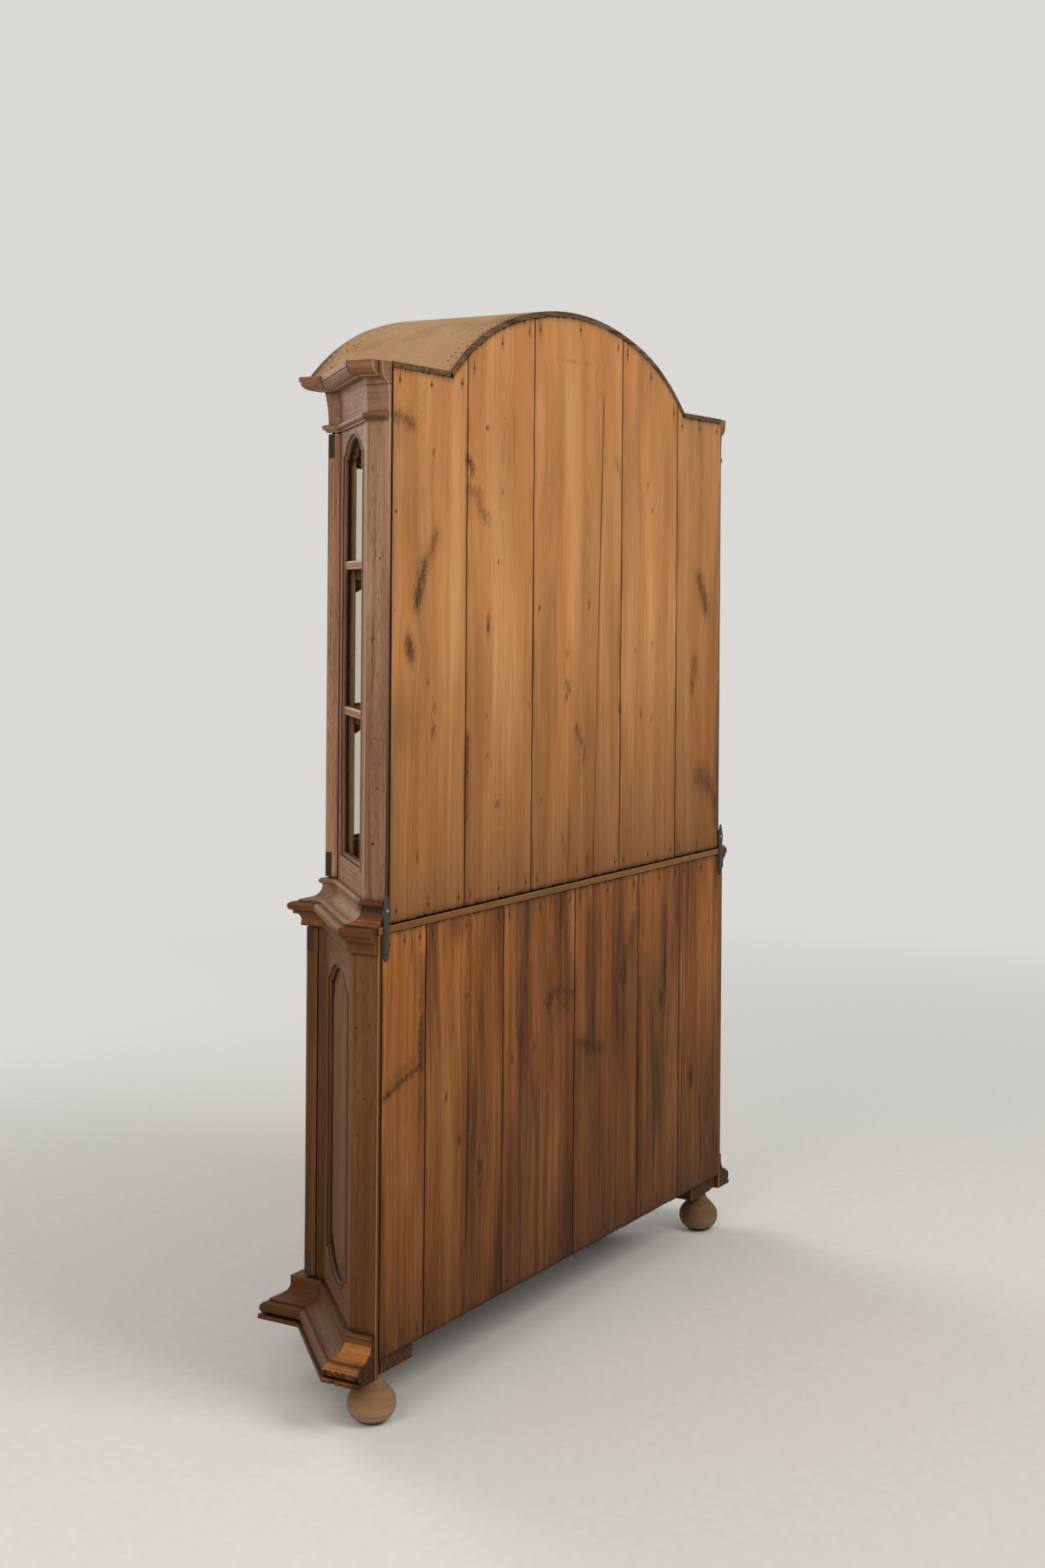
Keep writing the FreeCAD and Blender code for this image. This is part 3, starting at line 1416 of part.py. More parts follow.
make_feet()
make_foot_boards()
make_rear_posts()
make_front_frame()
make_boards_across()
make_canted_sides()
make_cleats()
make_plinth()
make_waist()
make_entablature()
make_roof()
make_back()
make_straps()
make_nails()
make_upper_doors()
make_lower_doors()
check_and_write()
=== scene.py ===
# %% [markdown]
# # A two-part cupboard, seen from behind
#
# The real piece is an old display cupboard. Two oak cases with canted corners stand on each
# other on turned feet, a thin roof is bent over an arched top, and upright pine boards close the
# rear. The CAD frame gives every solid its exact place, but its edges are as sharp as glass.
# This lesson turns those solids into old, worn wood and iron, one kind of piece after another.

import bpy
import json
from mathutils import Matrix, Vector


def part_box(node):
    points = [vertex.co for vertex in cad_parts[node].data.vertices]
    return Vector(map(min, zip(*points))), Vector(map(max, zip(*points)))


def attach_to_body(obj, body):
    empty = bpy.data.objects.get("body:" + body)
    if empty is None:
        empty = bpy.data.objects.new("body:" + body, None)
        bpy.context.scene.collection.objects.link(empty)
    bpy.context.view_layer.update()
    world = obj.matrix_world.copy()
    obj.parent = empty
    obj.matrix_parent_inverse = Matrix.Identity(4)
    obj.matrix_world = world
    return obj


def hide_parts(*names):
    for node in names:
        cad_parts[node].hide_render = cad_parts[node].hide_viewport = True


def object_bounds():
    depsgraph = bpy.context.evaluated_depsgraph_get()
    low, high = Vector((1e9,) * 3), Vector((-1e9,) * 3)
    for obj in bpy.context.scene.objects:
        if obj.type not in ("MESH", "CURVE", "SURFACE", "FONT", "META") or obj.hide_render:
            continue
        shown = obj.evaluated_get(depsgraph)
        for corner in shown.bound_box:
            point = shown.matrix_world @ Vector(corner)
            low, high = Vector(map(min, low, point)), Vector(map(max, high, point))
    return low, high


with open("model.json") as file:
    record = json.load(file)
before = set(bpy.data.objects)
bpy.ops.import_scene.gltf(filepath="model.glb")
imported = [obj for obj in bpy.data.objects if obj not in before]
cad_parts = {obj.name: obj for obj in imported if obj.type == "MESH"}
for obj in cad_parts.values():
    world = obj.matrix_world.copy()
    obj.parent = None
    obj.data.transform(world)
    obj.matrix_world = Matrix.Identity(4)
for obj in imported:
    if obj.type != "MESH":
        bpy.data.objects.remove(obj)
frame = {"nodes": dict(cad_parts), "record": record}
cad_box = [list(corner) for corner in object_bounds()]

import json
import math
import random

import bmesh
import bpy
import numpy as np
from mathutils import Matrix, Vector, noise
from mathutils.bvhtree import BVHTree

MM = 0.001
UP = Vector((0, 0, 1))
BOARDS_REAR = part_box("upper_back_board_third")[1].y
behaviour = frame["record"]["behaviour"]
body_of = {node: body for body, nodes in behaviour["bodies"].items() for node in nodes}
slot_of = {part["node"]: part["material_slot"] for part in frame["record"]["subparts"]}

# %% [markdown]
# ## Putting things into the scene
#
# Everything is put at the origin, unturned and unscaled, so the numbers in a mesh are places in
# the CAD frame. A piece of the cupboard then says what it stands for: the CAD node that it
# replaces and the body that it rides on.

# %% Helpers for objects
def put(name, data):
    """A new object in the scene."""
    made = bpy.data.objects.new(name, data)
    bpy.context.scene.collection.objects.link(made)
    return made


def attach(piece, node, replaces=True):
    """Let a piece ride where a CAD node rides, and as a rule in its place."""
    if replaces:
        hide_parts(node)
    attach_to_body(piece, body_of[node])


def smooth(mesh, sharp_degrees):
    """Smooth shading, with sharp edges where faces meet at more than an angle."""
    mesh.polygons.foreach_set("use_smooth", [True] * len(mesh.polygons))
    mesh.set_sharp_from_angle(angle=math.radians(sharp_degrees))


def clamp(value, low=0.0, high=1.0):
    """A value held between two limits."""
    return min(max(value, low), high)


print("slots to fill:", sorted(set(slot_of.values())))

# %% [markdown]
# ## The camera
#
# A camera that matches a photograph has four things to find: where it stands, where it looks,
# its lens, and how far its picture is shifted. Upright edges that stay upright in the photograph
# say that this camera was held level and its lens shifted down. It stood behind the cupboard,
# to one side, at eye height.

# %% Camera
PICTURE_WIDTH = 1200
PICTURE_HEIGHT = 1800
HORIZON_ROW = 683.06
CAMERA_PLACE = Vector((4.0639, 2.4585, 1.600))
CAMERA_HEADING = math.radians(120.586)
CAMERA_ROLL = math.radians(0.4304)
LENS_MM = 48.0
SENSOR_MM = 36.0

camera_data = bpy.data.cameras.new("camera")
camera_data.lens = LENS_MM
camera_data.sensor_width = SENSOR_MM
camera_data.shift_y = (HORIZON_ROW - PICTURE_HEIGHT / 2) / PICTURE_HEIGHT
camera = put("camera", camera_data)
level = Matrix.Rotation(CAMERA_HEADING, 4, "Z") @ Matrix.Rotation(math.radians(90), 4, "X")
camera_turn = level @ Matrix.Rotation(CAMERA_ROLL, 4, "Z")
camera.matrix_world = Matrix.Translation(CAMERA_PLACE) @ camera_turn
bpy.context.scene.camera = camera
bpy.context.scene.view_settings.view_transform = "Standard"
print("camera at", tuple(CAMERA_PLACE), "with a lens of", LENS_MM, "mm")

# %% [markdown]
# ## Colour and nodes
#
# Colours are written as the hex values that a painter's chart would give. Blender shades in
# linear light, so one function turns them. A second one adds a node, sets it up, links it and
# gives back its output, which keeps the material recipes short enough to read.

# %% Colour and node helpers
NOISE = "ShaderNodeTexNoise"
MIX = "ShaderNodeMix"
SUM = "ShaderNodeMath"
SCALE = "ShaderNodeVectorMath"
RANGE = "ShaderNodeMapRange"
READ = "ShaderNodeAttribute"
PLACE = "ShaderNodeTexCoord"
BUMP = "ShaderNodeBump"
# A node's sockets are called by name or counted from 0. A Map Range counts its value, then the
# ends of the range it comes from, then those of the range it goes to. A Mix counts its share as
# 0, and its two colours as 6 and 7.


def linear(code):
    """An sRGB hex colour as linear red, green, blue and alpha."""
    parts = [int(code[i:i + 2], 16) / 255 for i in (1, 3, 5)]
    return [p / 12.92 if p <= 0.04045 else ((p + 0.055) / 1.055) ** 2.4 for p in parts] + [1.0]


def add(tree, kind, links=None, out=0, **settings):
    """Add a node with its settings and links, and give back one of its outputs."""
    made = tree.nodes.new(kind)
    for key, value in settings.items():
        setattr(made, key, value)
    for key, value in (links or {}).items():
        socket = made.inputs[key]
        if isinstance(value, bpy.types.NodeSocket):
            tree.links.new(value, socket)
        else:
            socket.default_value = linear(value) if str(value).startswith("#") else value
    return made.outputs[out] if len(made.outputs) else made


def start_material(name):
    """A new material with its own shader, ready for a recipe."""
    material = bpy.data.materials.new(name)
    material.use_nodes = True
    tree = material.node_tree
    return material, tree, tree.nodes["Principled BSDF"]


print("a middle grey, #808080, is", round(linear("#808080")[0], 3), "in linear light")

# %% [markdown]
# ## Floor, backdrop and light
#
# A pale floor fades into plain white, so that nothing but the cupboard draws the eye. One big
# soft lamp hangs high behind the camera, like a bright overcast sky. Two weaker lamps and a
# weak sky fill the shadows. The floor turns white only for rays from the camera, gloss and
# glass, so it throws no extra light on the wood.

# %% Floor and light
FLOOR_HALF = 30.0
FADE_START = 1.6
FADE_END = 5.5
SPECKLES_PER_METRE = 40.0
BACKDROP = "#DAD9D6"
SKY_STRENGTH = 0.44


def straight_view(tree):
    """1 for a ray from the camera, off a gloss or through glass, otherwise 0."""
    path = tree.nodes.new("ShaderNodeLightPath").outputs
    seen = add(tree, SUM, {0: path["Is Camera Ray"], 1: path["Is Glossy Ray"]}, operation="MAXIMUM")
    return add(tree, SUM, {0: seen, 1: path["Is Transmission Ray"]}, operation="MAXIMUM")


corners = [(x * FLOOR_HALF, y * FLOOR_HALF, 0) for x, y in ((-1, -1), (1, -1), (1, 1), (-1, 1))]
floor_mesh = bpy.data.meshes.new("floor")
floor_mesh.from_pydata(corners, [], [(0, 1, 2, 3)])
floor = put("floor", floor_mesh)
floor_finish, tree, shader = start_material("pale_studio_floor")
place = add(tree, PLACE, out="Object")
far = add(tree, SCALE, {0: place}, out="Value", operation="LENGTH")
fade = add(tree, RANGE, {0: far, 1: FADE_START, 2: FADE_END})
speckle = add(tree, NOISE, {"Vector": place, "Scale": SPECKLES_PER_METRE})
tint = add(tree, MIX, {0: speckle, 6: "#D3D4D4", 7: "#DDDEDE"}, out=2, data_type="RGBA")
tree.links.new(tint, shader.inputs["Base Color"])
shader.inputs["Roughness"].default_value = 0.9
shader.inputs["Specular IOR Level"].default_value = 0.1
white = add(tree, "ShaderNodeEmission", {"Color": BACKDROP, "Strength": 1.0})
share = add(tree, SUM, {0: fade, 1: straight_view(tree)}, operation="MULTIPLY")
cover = add(tree, "ShaderNodeMixShader", {0: share, 1: shader.outputs[0], 2: white})
tree.links.new(cover, tree.nodes["Material Output"].inputs["Surface"])
floor_mesh.materials.append(floor_finish)

world = bpy.data.worlds.new("studio")
bpy.context.scene.world = world
world.use_nodes = True
tree = world.node_tree
sky = tree.nodes["Background"]
sky.inputs["Color"].default_value = linear("#F3EFE9")
sky.inputs["Strength"].default_value = SKY_STRENGTH
backdrop = add(tree, "ShaderNodeBackground", {"Color": BACKDROP, "Strength": 1.0})
both = add(tree, "ShaderNodeMixShader", {0: straight_view(tree), 1: sky.outputs[0], 2: backdrop})
tree.links.new(both, tree.nodes["World Output"].inputs["Surface"])


def add_lamp(name, place, target, size, power):
    """A square soft lamp that faces a target."""
    data = bpy.data.lights.new(name, "AREA")
    data.size = size
    data.energy = power
    data.color = linear("#FFFAF2")[:3]
    lamp = put(name, data)
    lamp.location = place
    lamp.rotation_euler = (Vector(target) - Vector(place)).to_track_quat("-Z", "Y").to_euler()


add_lamp("high_light", place=(0.4, 4.6, 4.8), target=(0, 0, 1.5), size=3.0, power=200)
add_lamp("side_fill", place=(5.2, 0.4, 3.2), target=(0.6, 0, 1.3), size=2.5, power=100)
add_lamp("front_fill", place=(-2.0, -5.2, 3.6), target=(0, 0, 1.2), size=3.0, power=150)
print("floor, backdrop and three lamps are set")

# %% [markdown]
# ## Old wood
#
# Wood is a bundle of long tubes laid down in yearly rings. A saw cuts the rings into lines, so
# every wooden piece carries two attributes from its mesh: "grain", a place measured along and
# across the fibres in metres, and "ring", a number that grows by one for each year. Noise that
# is stretched along the grain gives streaks, and the fraction of the ring number gives the dark
# late wood of each year. Painting this on flat pictures would need seams. Attributes follow the
# piece round every edge.

# %% The wood recipe
NOISE_PER_METRE = {"fibre": (5.0, 400.0, 400.0), "streak": (1.6, 110.0, 110.0),
                   "patch": (1.1, 11.0, 11.0), "pore": (42.0, 1100.0, 1100.0),
                   "cloud": (1.5, 11.0, 11.0)}
LATE_WOOD_POWER = 2.6
RING_DRIFT = 1.8
SMOKE_SHADE_EDGE = 0.25
CREVICE_SHADE_MM = 14.0
# The next colour serves dirt and pores, and painted shade in hollows.
DIRT_AND_SHADE = "#24160D"
KNOT = "#4B2B17"


def wood_finish(name, pale, deep, patch, worn, year, streaks, pores, gloss,
                smoke=("#000000", 1.0, 0.0, 0.0), crevice_shade=0.9, grime=("#3A2413", 0.3, 0.3),
                ink=KNOT):
    """Old wood: rings, streaks, patches, pores, grime, knots, worn edges, dirt and painted shade.
    """
    material, tree, shader = start_material(name)
    # The smoke argument gives smoke and painted shade towards the bottom.
    smoke_shade_colour, smoke_shade_top, smoke_shade_low, smoke_shade_most = smoke
    grime_colour, grime_most, clean_most = grime
    grain = add(tree, READ, out="Vector", attribute_name="grain")
    seen = {}
    for key, size in NOISE_PER_METRE.items():
        spread = add(tree, SCALE, {0: grain, 1: size}, operation="MULTIPLY")
        seen[key] = add(tree, NOISE, {"Vector": spread, "Scale": 1.0, "Detail": 6.0,
                                      "Roughness": 0.6})
    # Late wood: the end of each year's ring, broken up by slow noise.
    ring = add(tree, READ, out="Fac", attribute_name="ring")
    drift = add(tree, SUM, {0: seen["patch"], 1: RING_DRIFT, 2: ring}, operation="MULTIPLY_ADD")
    late = add(tree, SUM, {0: add(tree, SUM, {0: drift}, operation="FRACT"), 1: LATE_WOOD_POWER},
               operation="POWER")
    faint = add(tree, RANGE, {0: seen["cloud"], 1: 0.35, 2: 0.62, 3: 0.35, 4: 1.3})
    late = add(tree, SUM, {0: late, 1: faint}, operation="MULTIPLY")
    streak = add(tree, RANGE, {0: seen["streak"], 1: 0.30, 2: 0.70})
    fibre = add(tree, RANGE, {0: seen["fibre"], 1: 0.3, 2: 0.7, 4: 0.34})
    body = add(tree, SUM, {0: late, 1: year, 2: fibre}, operation="MULTIPLY_ADD")
    body = add(tree, SUM, {0: streak, 1: streaks, 2: body}, operation="MULTIPLY_ADD")
    # Coats that lie over the bare wood, each with its share, from the lowest to the top one.
    blotch = add(tree, RANGE, {0: seen["patch"], 1: 0.40, 2: 0.66, 4: 0.8})
    pore = add(tree, RANGE, {0: seen["pore"], 1: 0.56, 2: 0.66, 4: pores})
    clean = add(tree, RANGE, {0: seen["cloud"], 1: 0.46, 2: 0.30, 4: clean_most})
    tangle = add(tree, SUM, {0: seen["streak"], 1: seen["fibre"]})
    smudge = add(tree, RANGE, {0: seen["cloud"], 1: 0.50, 2: 0.68, 4: grime_most})
    smudge = add(tree, SUM, {0: smudge, 1: tangle}, operation="MULTIPLY")
    # Smoke, and painted shade for the light that falls off lower down: darker towards the bottom.
    height = add(tree, "ShaderNodeSeparateXYZ", {0: add(tree, PLACE, out="Object")}, out="Z")
    height = add(tree, SUM, {0: seen["streak"], 1: -0.5, 2: height}, operation="MULTIPLY_ADD")
    smoke_shade_share = add(tree, RANGE, {0: height, 1: smoke_shade_top - SMOKE_SHADE_EDGE, 2: smoke_shade_low - SMOKE_SHADE_EDGE,
                               4: smoke_shade_most})
    wear = add(tree, READ, out="Fac", attribute_name="edge")
    wear = add(tree, SUM, {0: wear, 1: seen["patch"]}, operation="MULTIPLY")
    wear = add(tree, RANGE, {0: wear, 1: 0.0, 2: 0.45, 4: 0.9})
    coats = [(blotch, patch), (pore, DIRT_AND_SHADE), (clean, worn), (smudge, grime_colour),
             (smoke_shade_share, smoke_shade_colour), (wear, worn)]
    frayed = add(tree, SUM, {0: tangle, 1: 1.3}, operation="MULTIPLY")
    for mark, paint, low, high, most in (("stain", ink, 0.1, 1.3, 0.85),
                                         ("knot", ink, 0.2, 1.2, 0.95),
                                         ("dirt_and_shade", DIRT_AND_SHADE, 0.0, 1.0, 0.96)):
        value = add(tree, READ, out="Fac", attribute_name=mark)
        value = add(tree, SUM, {0: value, 1: frayed}, operation="MULTIPLY")
        coats.append((add(tree, RANGE, {0: value, 1: low, 2: high, 4: most}), paint))
    # Painted shade: ambient occlusion darkens hollows and the seams between pieces.
    open_air = add(tree, "ShaderNodeAmbientOcclusion", {"Distance": CREVICE_SHADE_MM * MM}, out="AO",
                   samples=5)
    crevice_shade_share = add(tree, RANGE, {0: open_air, 1: 0.90, 2: 0.35, 4: crevice_shade})
    coats.append((add(tree, SUM, {0: crevice_shade_share, 1: tangle}, operation="MULTIPLY"), DIRT_AND_SHADE))
    colour = add(tree, MIX, {0: body, 6: pale, 7: deep}, out=2, data_type="RGBA")
    for share, paint in coats:
        colour = add(tree, MIX, {0: share, 6: colour, 7: paint}, out=2, data_type="RGBA")
    tone = add(tree, READ, out="Fac", attribute_name="tone")
    tone = add(tree, SUM, {0: tone, 1: 1.0})
    shade = add(tree, SCALE, {0: colour, "Scale": tone}, operation="SCALE")
    tree.links.new(shade, shader.inputs["Base Color"])
    rough = add(tree, SUM, {0: late, 1: 0.10, 2: gloss}, operation="MULTIPLY_ADD")
    rough = add(tree, SUM, {0: seen["patch"], 1: 0.18, 2: rough}, operation="MULTIPLY_ADD")
    tree.links.new(rough, shader.inputs["Roughness"])
    relief = add(tree, SUM, {0: pore, 1: -1.0, 2: seen["fibre"]}, operation="MULTIPLY_ADD")
    relief = add(tree, SUM, {0: late, 1: 0.5, 2: relief}, operation="MULTIPLY_ADD")
    bump = add(tree, BUMP, {"Height": relief, "Strength": 0.4, "Distance": 0.5 * MM})
    tree.links.new(bump, shader.inputs["Normal"])
    shader.inputs["IOR"].default_value = 1.5
    shader.inputs["Specular IOR Level"].default_value = 0.12
    return material


print("the wood recipe reads", len(NOISE_PER_METRE), "noises, measured along and across the grain")

# %% The kinds of wood
# Scots pine, planed and darkened to orange by a century of light.
# Lower down it darkens with smoke and painted shade.
upper_pine = wood_finish("aged_orange_pine", "#CB9560", "#925D30", "#B1733D", "#D3A26C", 0.26, 0.28,
                         0.05, 0.5, smoke=("#70421A", 1.6, 0.85, 0.8), crevice_shade=0.35,
                         grime=("#6A4E30", 0.38, 0.4))
# The same pine lower down, browner from floor dust, smoke, handling and painted shade.
lower_pine = wood_finish("sooty_shaded_brown_pine", "#BC783D", "#5B3416", "#8C5121", "#C68A48", 0.36, 0.6,
                         0.16, 0.5, smoke=("#3A200D", 1.0, 0.0, 0.8), crevice_shade=0.35,
                         grime=("#2E1C0E", 0.75, 0.5), ink="#2B170B")
# Inner boards that never met wax: dull, dusty pine.
# Near the floor it darkens with smoke and painted shade.
inner_pine = wood_finish("dry_inner_pine", "#8C5F36", "#5E3A1F", "#74502E", "#A27850", 0.4, 0.4,
                         0.1, 0.6, smoke=("#3F2817", 0.25, 0.1, 0.85))
# The bent roof: thin boards, bleached to straw by dust and sun.
roof_pine = wood_finish("bleached_roof_pine", "#C19C77", "#977247", "#AD8966", "#8A755C", 0.25, 0.3,
                        0.3, 0.75, grime=("#7A6248", 0.5, 0.0))
# Oak with open pores, waxed, greyed where the wax has gone.
upper_oak = wood_finish("waxed_greyed_oak", "#B58A6C", "#643F2C", "#946B53", "#C8A586", 0.3, 0.55,
                        0.95, 0.5, crevice_shade=0.55)
# The lower case is the same oak, darker and yellower from wax, floor dirt and painted shade.
lower_oak = wood_finish("dark_waxed_shaded_oak", "#94663A", "#472812", "#6E4724", "#967348", 0.3, 0.6,
                        0.9, 0.5, smoke=("#45230C", 0.9, 0.1, 0.6), crevice_shade=1.2)
# Short returns at the rear, where hands rubbed the wax to orange.
orange_oak = wood_finish("rubbed_orange_oak", "#C4854A", "#683A1A", "#965C2E", "#C9935E", 0.4, 0.6,
                         0.9, 0.5, grime=("#2E170B", 1.2, 0.3))
# The returns at the waist, darker and redder, with painted shade in every hollow.
red_oak = wood_finish("sooty_shaded_red_oak", "#85552F", "#3E2010", "#60381E", "#9A6B45", 0.4, 0.6,
                      0.9, 0.5, crevice_shade=1.3, grime=("#241108", 1.2, 0.3))
# The upper base's return ledges: bare red where dusters went, soot and painted shade in the hollow.
ledge_oak = wood_finish("dusted_red_oak", "#A56A42", "#502916", "#834C2B", "#A5785A", 0.45, 0.8,
                        0.9, 0.5, crevice_shade=0.7, grime=("#341B0E", 0.8, 0.3))
# The upper case's own short returns: the same rubbing, but paler and less red.
tan_oak = wood_finish("rubbed_tan_oak", "#A17350", "#58351F", "#7D553A", "#A37C5C", 0.4, 0.55,
                      0.9, 0.5, grime=("#341B0E", 0.8, 0.3))
# Turned beech feet: even, close wood with short flecks, scuffed pale on the belly.
# Near the floor the feet darken with smoke and painted shade.
beech = wood_finish("scuffed_turned_beech", "#B8936C", "#86643F", "#8F6B47", "#D2BA9B", 0.1, 0.35,
                    0.3, 0.55, smoke=("#4A3220", 0.4, 0.0, 0.35), grime=("#3A2818", 0.7, 0.8))
print("eleven wood finishes")

# %% [markdown]
# ## Iron, brass and glass
#
# Forged straps and nails are black iron gone dull brown with rust. The two turn catches are
# brass that hands have kept bright on the rim. The panes are old drawn glass, faintly green and
# a little wavy. They stay clear, because a cupboard for show is meant to be looked into: half of
# the shader is a green clear body, and the other half is a thin gloss with a film of dust.

# %% Metal and glass finishes
def metal_finish(name, bare, crust, crust_low, crust_high, bare_rough, crust_rough, per_metre):
    """Worn metal that shows bare between patches of crust."""
    material, tree, shader = start_material(name)
    place = add(tree, PLACE, out="Object")
    spots = add(tree, NOISE, {"Vector": place, "Scale": per_metre, "Detail": 6.0})
    crusted = add(tree, RANGE, {0: spots, 1: crust_low, 2: crust_high})
    colour = add(tree, MIX, {0: crusted, 6: bare, 7: crust}, out=2, data_type="RGBA")
    tree.links.new(colour, shader.inputs["Base Color"])
    for target, low, high in (("Roughness", bare_rough, crust_rough), ("Metallic", 0.95, 0.25)):
        value = add(tree, RANGE, {0: crusted, 3: low, 4: high})
        tree.links.new(value, shader.inputs[target])
    bump = add(tree, BUMP, {"Height": spots, "Strength": 0.5, "Distance": 0.3 * MM})
    tree.links.new(bump, shader.inputs["Normal"])
    return material


black_iron = metal_finish("forged_black_iron", "#4C4A45", "#3B332B", 0.35, 0.6, 0.5, 0.8, 260.0)
brown_iron = metal_finish("rusted_hinge_iron", "#4E3A2C", "#3A281C", 0.3, 0.6, 0.6, 0.85, 200.0)
bright_steel = metal_finish("rubbed_screw_steel", "#B9B4AA", "#6A6259", 0.6, 0.8, 0.3, 0.5, 300.0)
door_iron = metal_finish("browned_door_iron", "#5A4434", "#402F23", 0.2, 0.4, 0.8, 0.9, 200.0)
old_brass = metal_finish("handled_brass", "#C79A4B", "#6E5428", 0.5, 0.75, 0.28, 0.6, 120.0)

PANE_ALPHA = 0.08
PANE_BODY = 0.5
PANE_IOR = 1.52
WAVES_PER_METRE = 9.0
FILM_PER_METRE = 3.0
pane_glass, tree, shader = start_material("drawn_green_glass")
place = add(tree, PLACE, out="Object")
wave = add(tree, NOISE, {"Vector": place, "Scale": WAVES_PER_METRE})
film = add(tree, NOISE, {"Vector": place, "Scale": FILM_PER_METRE, "Detail": 5.0})
tint = add(tree, MIX, {0: film, 6: "#353A2F", 7: "#484C40"}, out=2, data_type="RGBA")
tree.links.new(tint, shader.inputs["Base Color"])
bump = add(tree, BUMP, {"Height": wave, "Strength": 0.2, "Distance": 1.0 * MM})
tree.links.new(bump, shader.inputs["Normal"])
shader.inputs["Roughness"].default_value = 0.06
shader.inputs["Alpha"].default_value = PANE_ALPHA
shader.inputs["IOR"].default_value = PANE_IOR
body = add(tree, "ShaderNodeBsdfTransparent", {0: "#EFF1E6"})
pane = add(tree, "ShaderNodeMixShader", {0: PANE_BODY, 1: shader.outputs[0], 2: body})
tree.links.new(pane, tree.nodes["Material Output"].inputs["Surface"])
finishes = {"oak": upper_oak, "pine_light": upper_pine, "pine_dark": inner_pine,
            "pine_roof": roof_pine, "turned_beech": beech, "iron": black_iron, "brass": old_brass,
            "glass": pane_glass}
print("finishes for", len(finishes), "slots")

# %% [markdown]
# ## Taking a CAD node apart
#
# A node's mesh is one long list of triangles, solid after solid. An edge that is walked once in
# each direction is closed, so wherever no open edge is left over, one solid has ended. Each
# solid can then be aged by itself, with its own grain, as each board of a real frame was cut
# from its own plank.

# %% Closed solids of a node
GRID = 1e5


def closed_solids(node):
    """The solids of a node, each as a bmesh with its doubles merged."""
    mesh = frame["nodes"][node].data
    points = np.empty(len(mesh.vertices) * 3)
    mesh.vertices.foreach_get("co", points)
    points = points.reshape(-1, 3)
    keys = [tuple(key) for key in np.round(points * GRID).astype(int)]
    solids, faces, open_edges = [], [], {}
    for face in mesh.polygons:
        walk = [keys[i] for i in face.vertices]
        for a, b in zip(walk, walk[1:] + walk[:1]):
            if a == b:
                continue
            if open_edges.get((b, a)):
                open_edges[(b, a)] -= 1
                if not open_edges[(b, a)]:
                    del open_edges[(b, a)]
            else:
                open_edges[(a, b)] = open_edges.get((a, b), 0) + 1
        if len(set(walk)) == 3:
            faces.append(walk)
        if not open_edges:
            solids.append(faces)
            faces = []
    return [make_shape(faces) for faces in solids if faces]


def make_shape(faces):
    """A bmesh from faces that are lists of whole-number places."""
    shape = bmesh.new()
    corners = {}
    for walk in faces:
        for key in walk:
            if key not in corners:
                corners[key] = shape.verts.new([part / GRID for part in key])
        if not shape.faces.get([corners[key] for key in walk]):
            shape.faces.new([corners[key] for key in walk])
    return shape


print("solids in the nails node:", len(closed_solids("nails_and_screws")))

# %% [markdown]
# ## Ageing a solid
#
# Real arrises are never sharp: planing, wax and hands round them, and shrinking wood pulls its
# faces in by a hair. Each solid gets its flat faces joined, its sharp edges bevelled, cuts
# across its length, and a small noise that only ever pulls inwards, so the piece stays inside
# its CAD solid. Scaling or bending it freely would break the joints.

# %% Measure a solid
CANT = math.sqrt(0.5)
WAYS = (Vector((1, 0, 0)), Vector((0, 1, 0)), Vector((0, 0, 1)),
        Vector((CANT, CANT, 0)), Vector((CANT, -CANT, 0)))
TALL_SHARE = 1.2


def extent(shape, way):
    """The lowest and highest place of a shape's points along a way."""
    along = [vert.co.dot(way) for vert in shape.verts]
    return min(along), max(along)


def reach(shape, way):
    """A shape's length along a way."""
    low, high = extent(shape, way)
    return high - low


def grain_way(shape):
    """A solid's grain: upright in a tall piece, otherwise along its most slender way."""
    flat = max((way for way in WAYS if not way.z),
               key=lambda way: reach(shape, way) / reach(shape, way.cross(UP)))
    return UP if reach(shape, UP) > TALL_SHARE * reach(shape, flat) else flat


print("an upright post's grain runs", tuple(grain_way(closed_solids("upper_rear_posts")[0])))

# %% The ageing function
FLAT = math.radians(0.7)
SHARP = math.radians(35)
RING_MM = 3.2
REAR_RETURN = 0.10
LOG_SIZE = 20
PIECE_TONE = 0.07
BROAD_PER_METRE = 14
FINE_PER_METRE = 60


def cut(shape, place, normal):
    """Cut all faces that cross a plane."""
    geometry = shape.verts[:] + shape.edges[:] + shape.faces[:]
    bmesh.ops.bisect_plane(shape, geom=geometry, plane_co=place, plane_no=normal)


def place_in_log(dice):
    """A random place in metres, so that no two pieces show the same wood."""
    return Vector([dice.uniform(-LOG_SIZE, LOG_SIZE) for _ in range(3)])


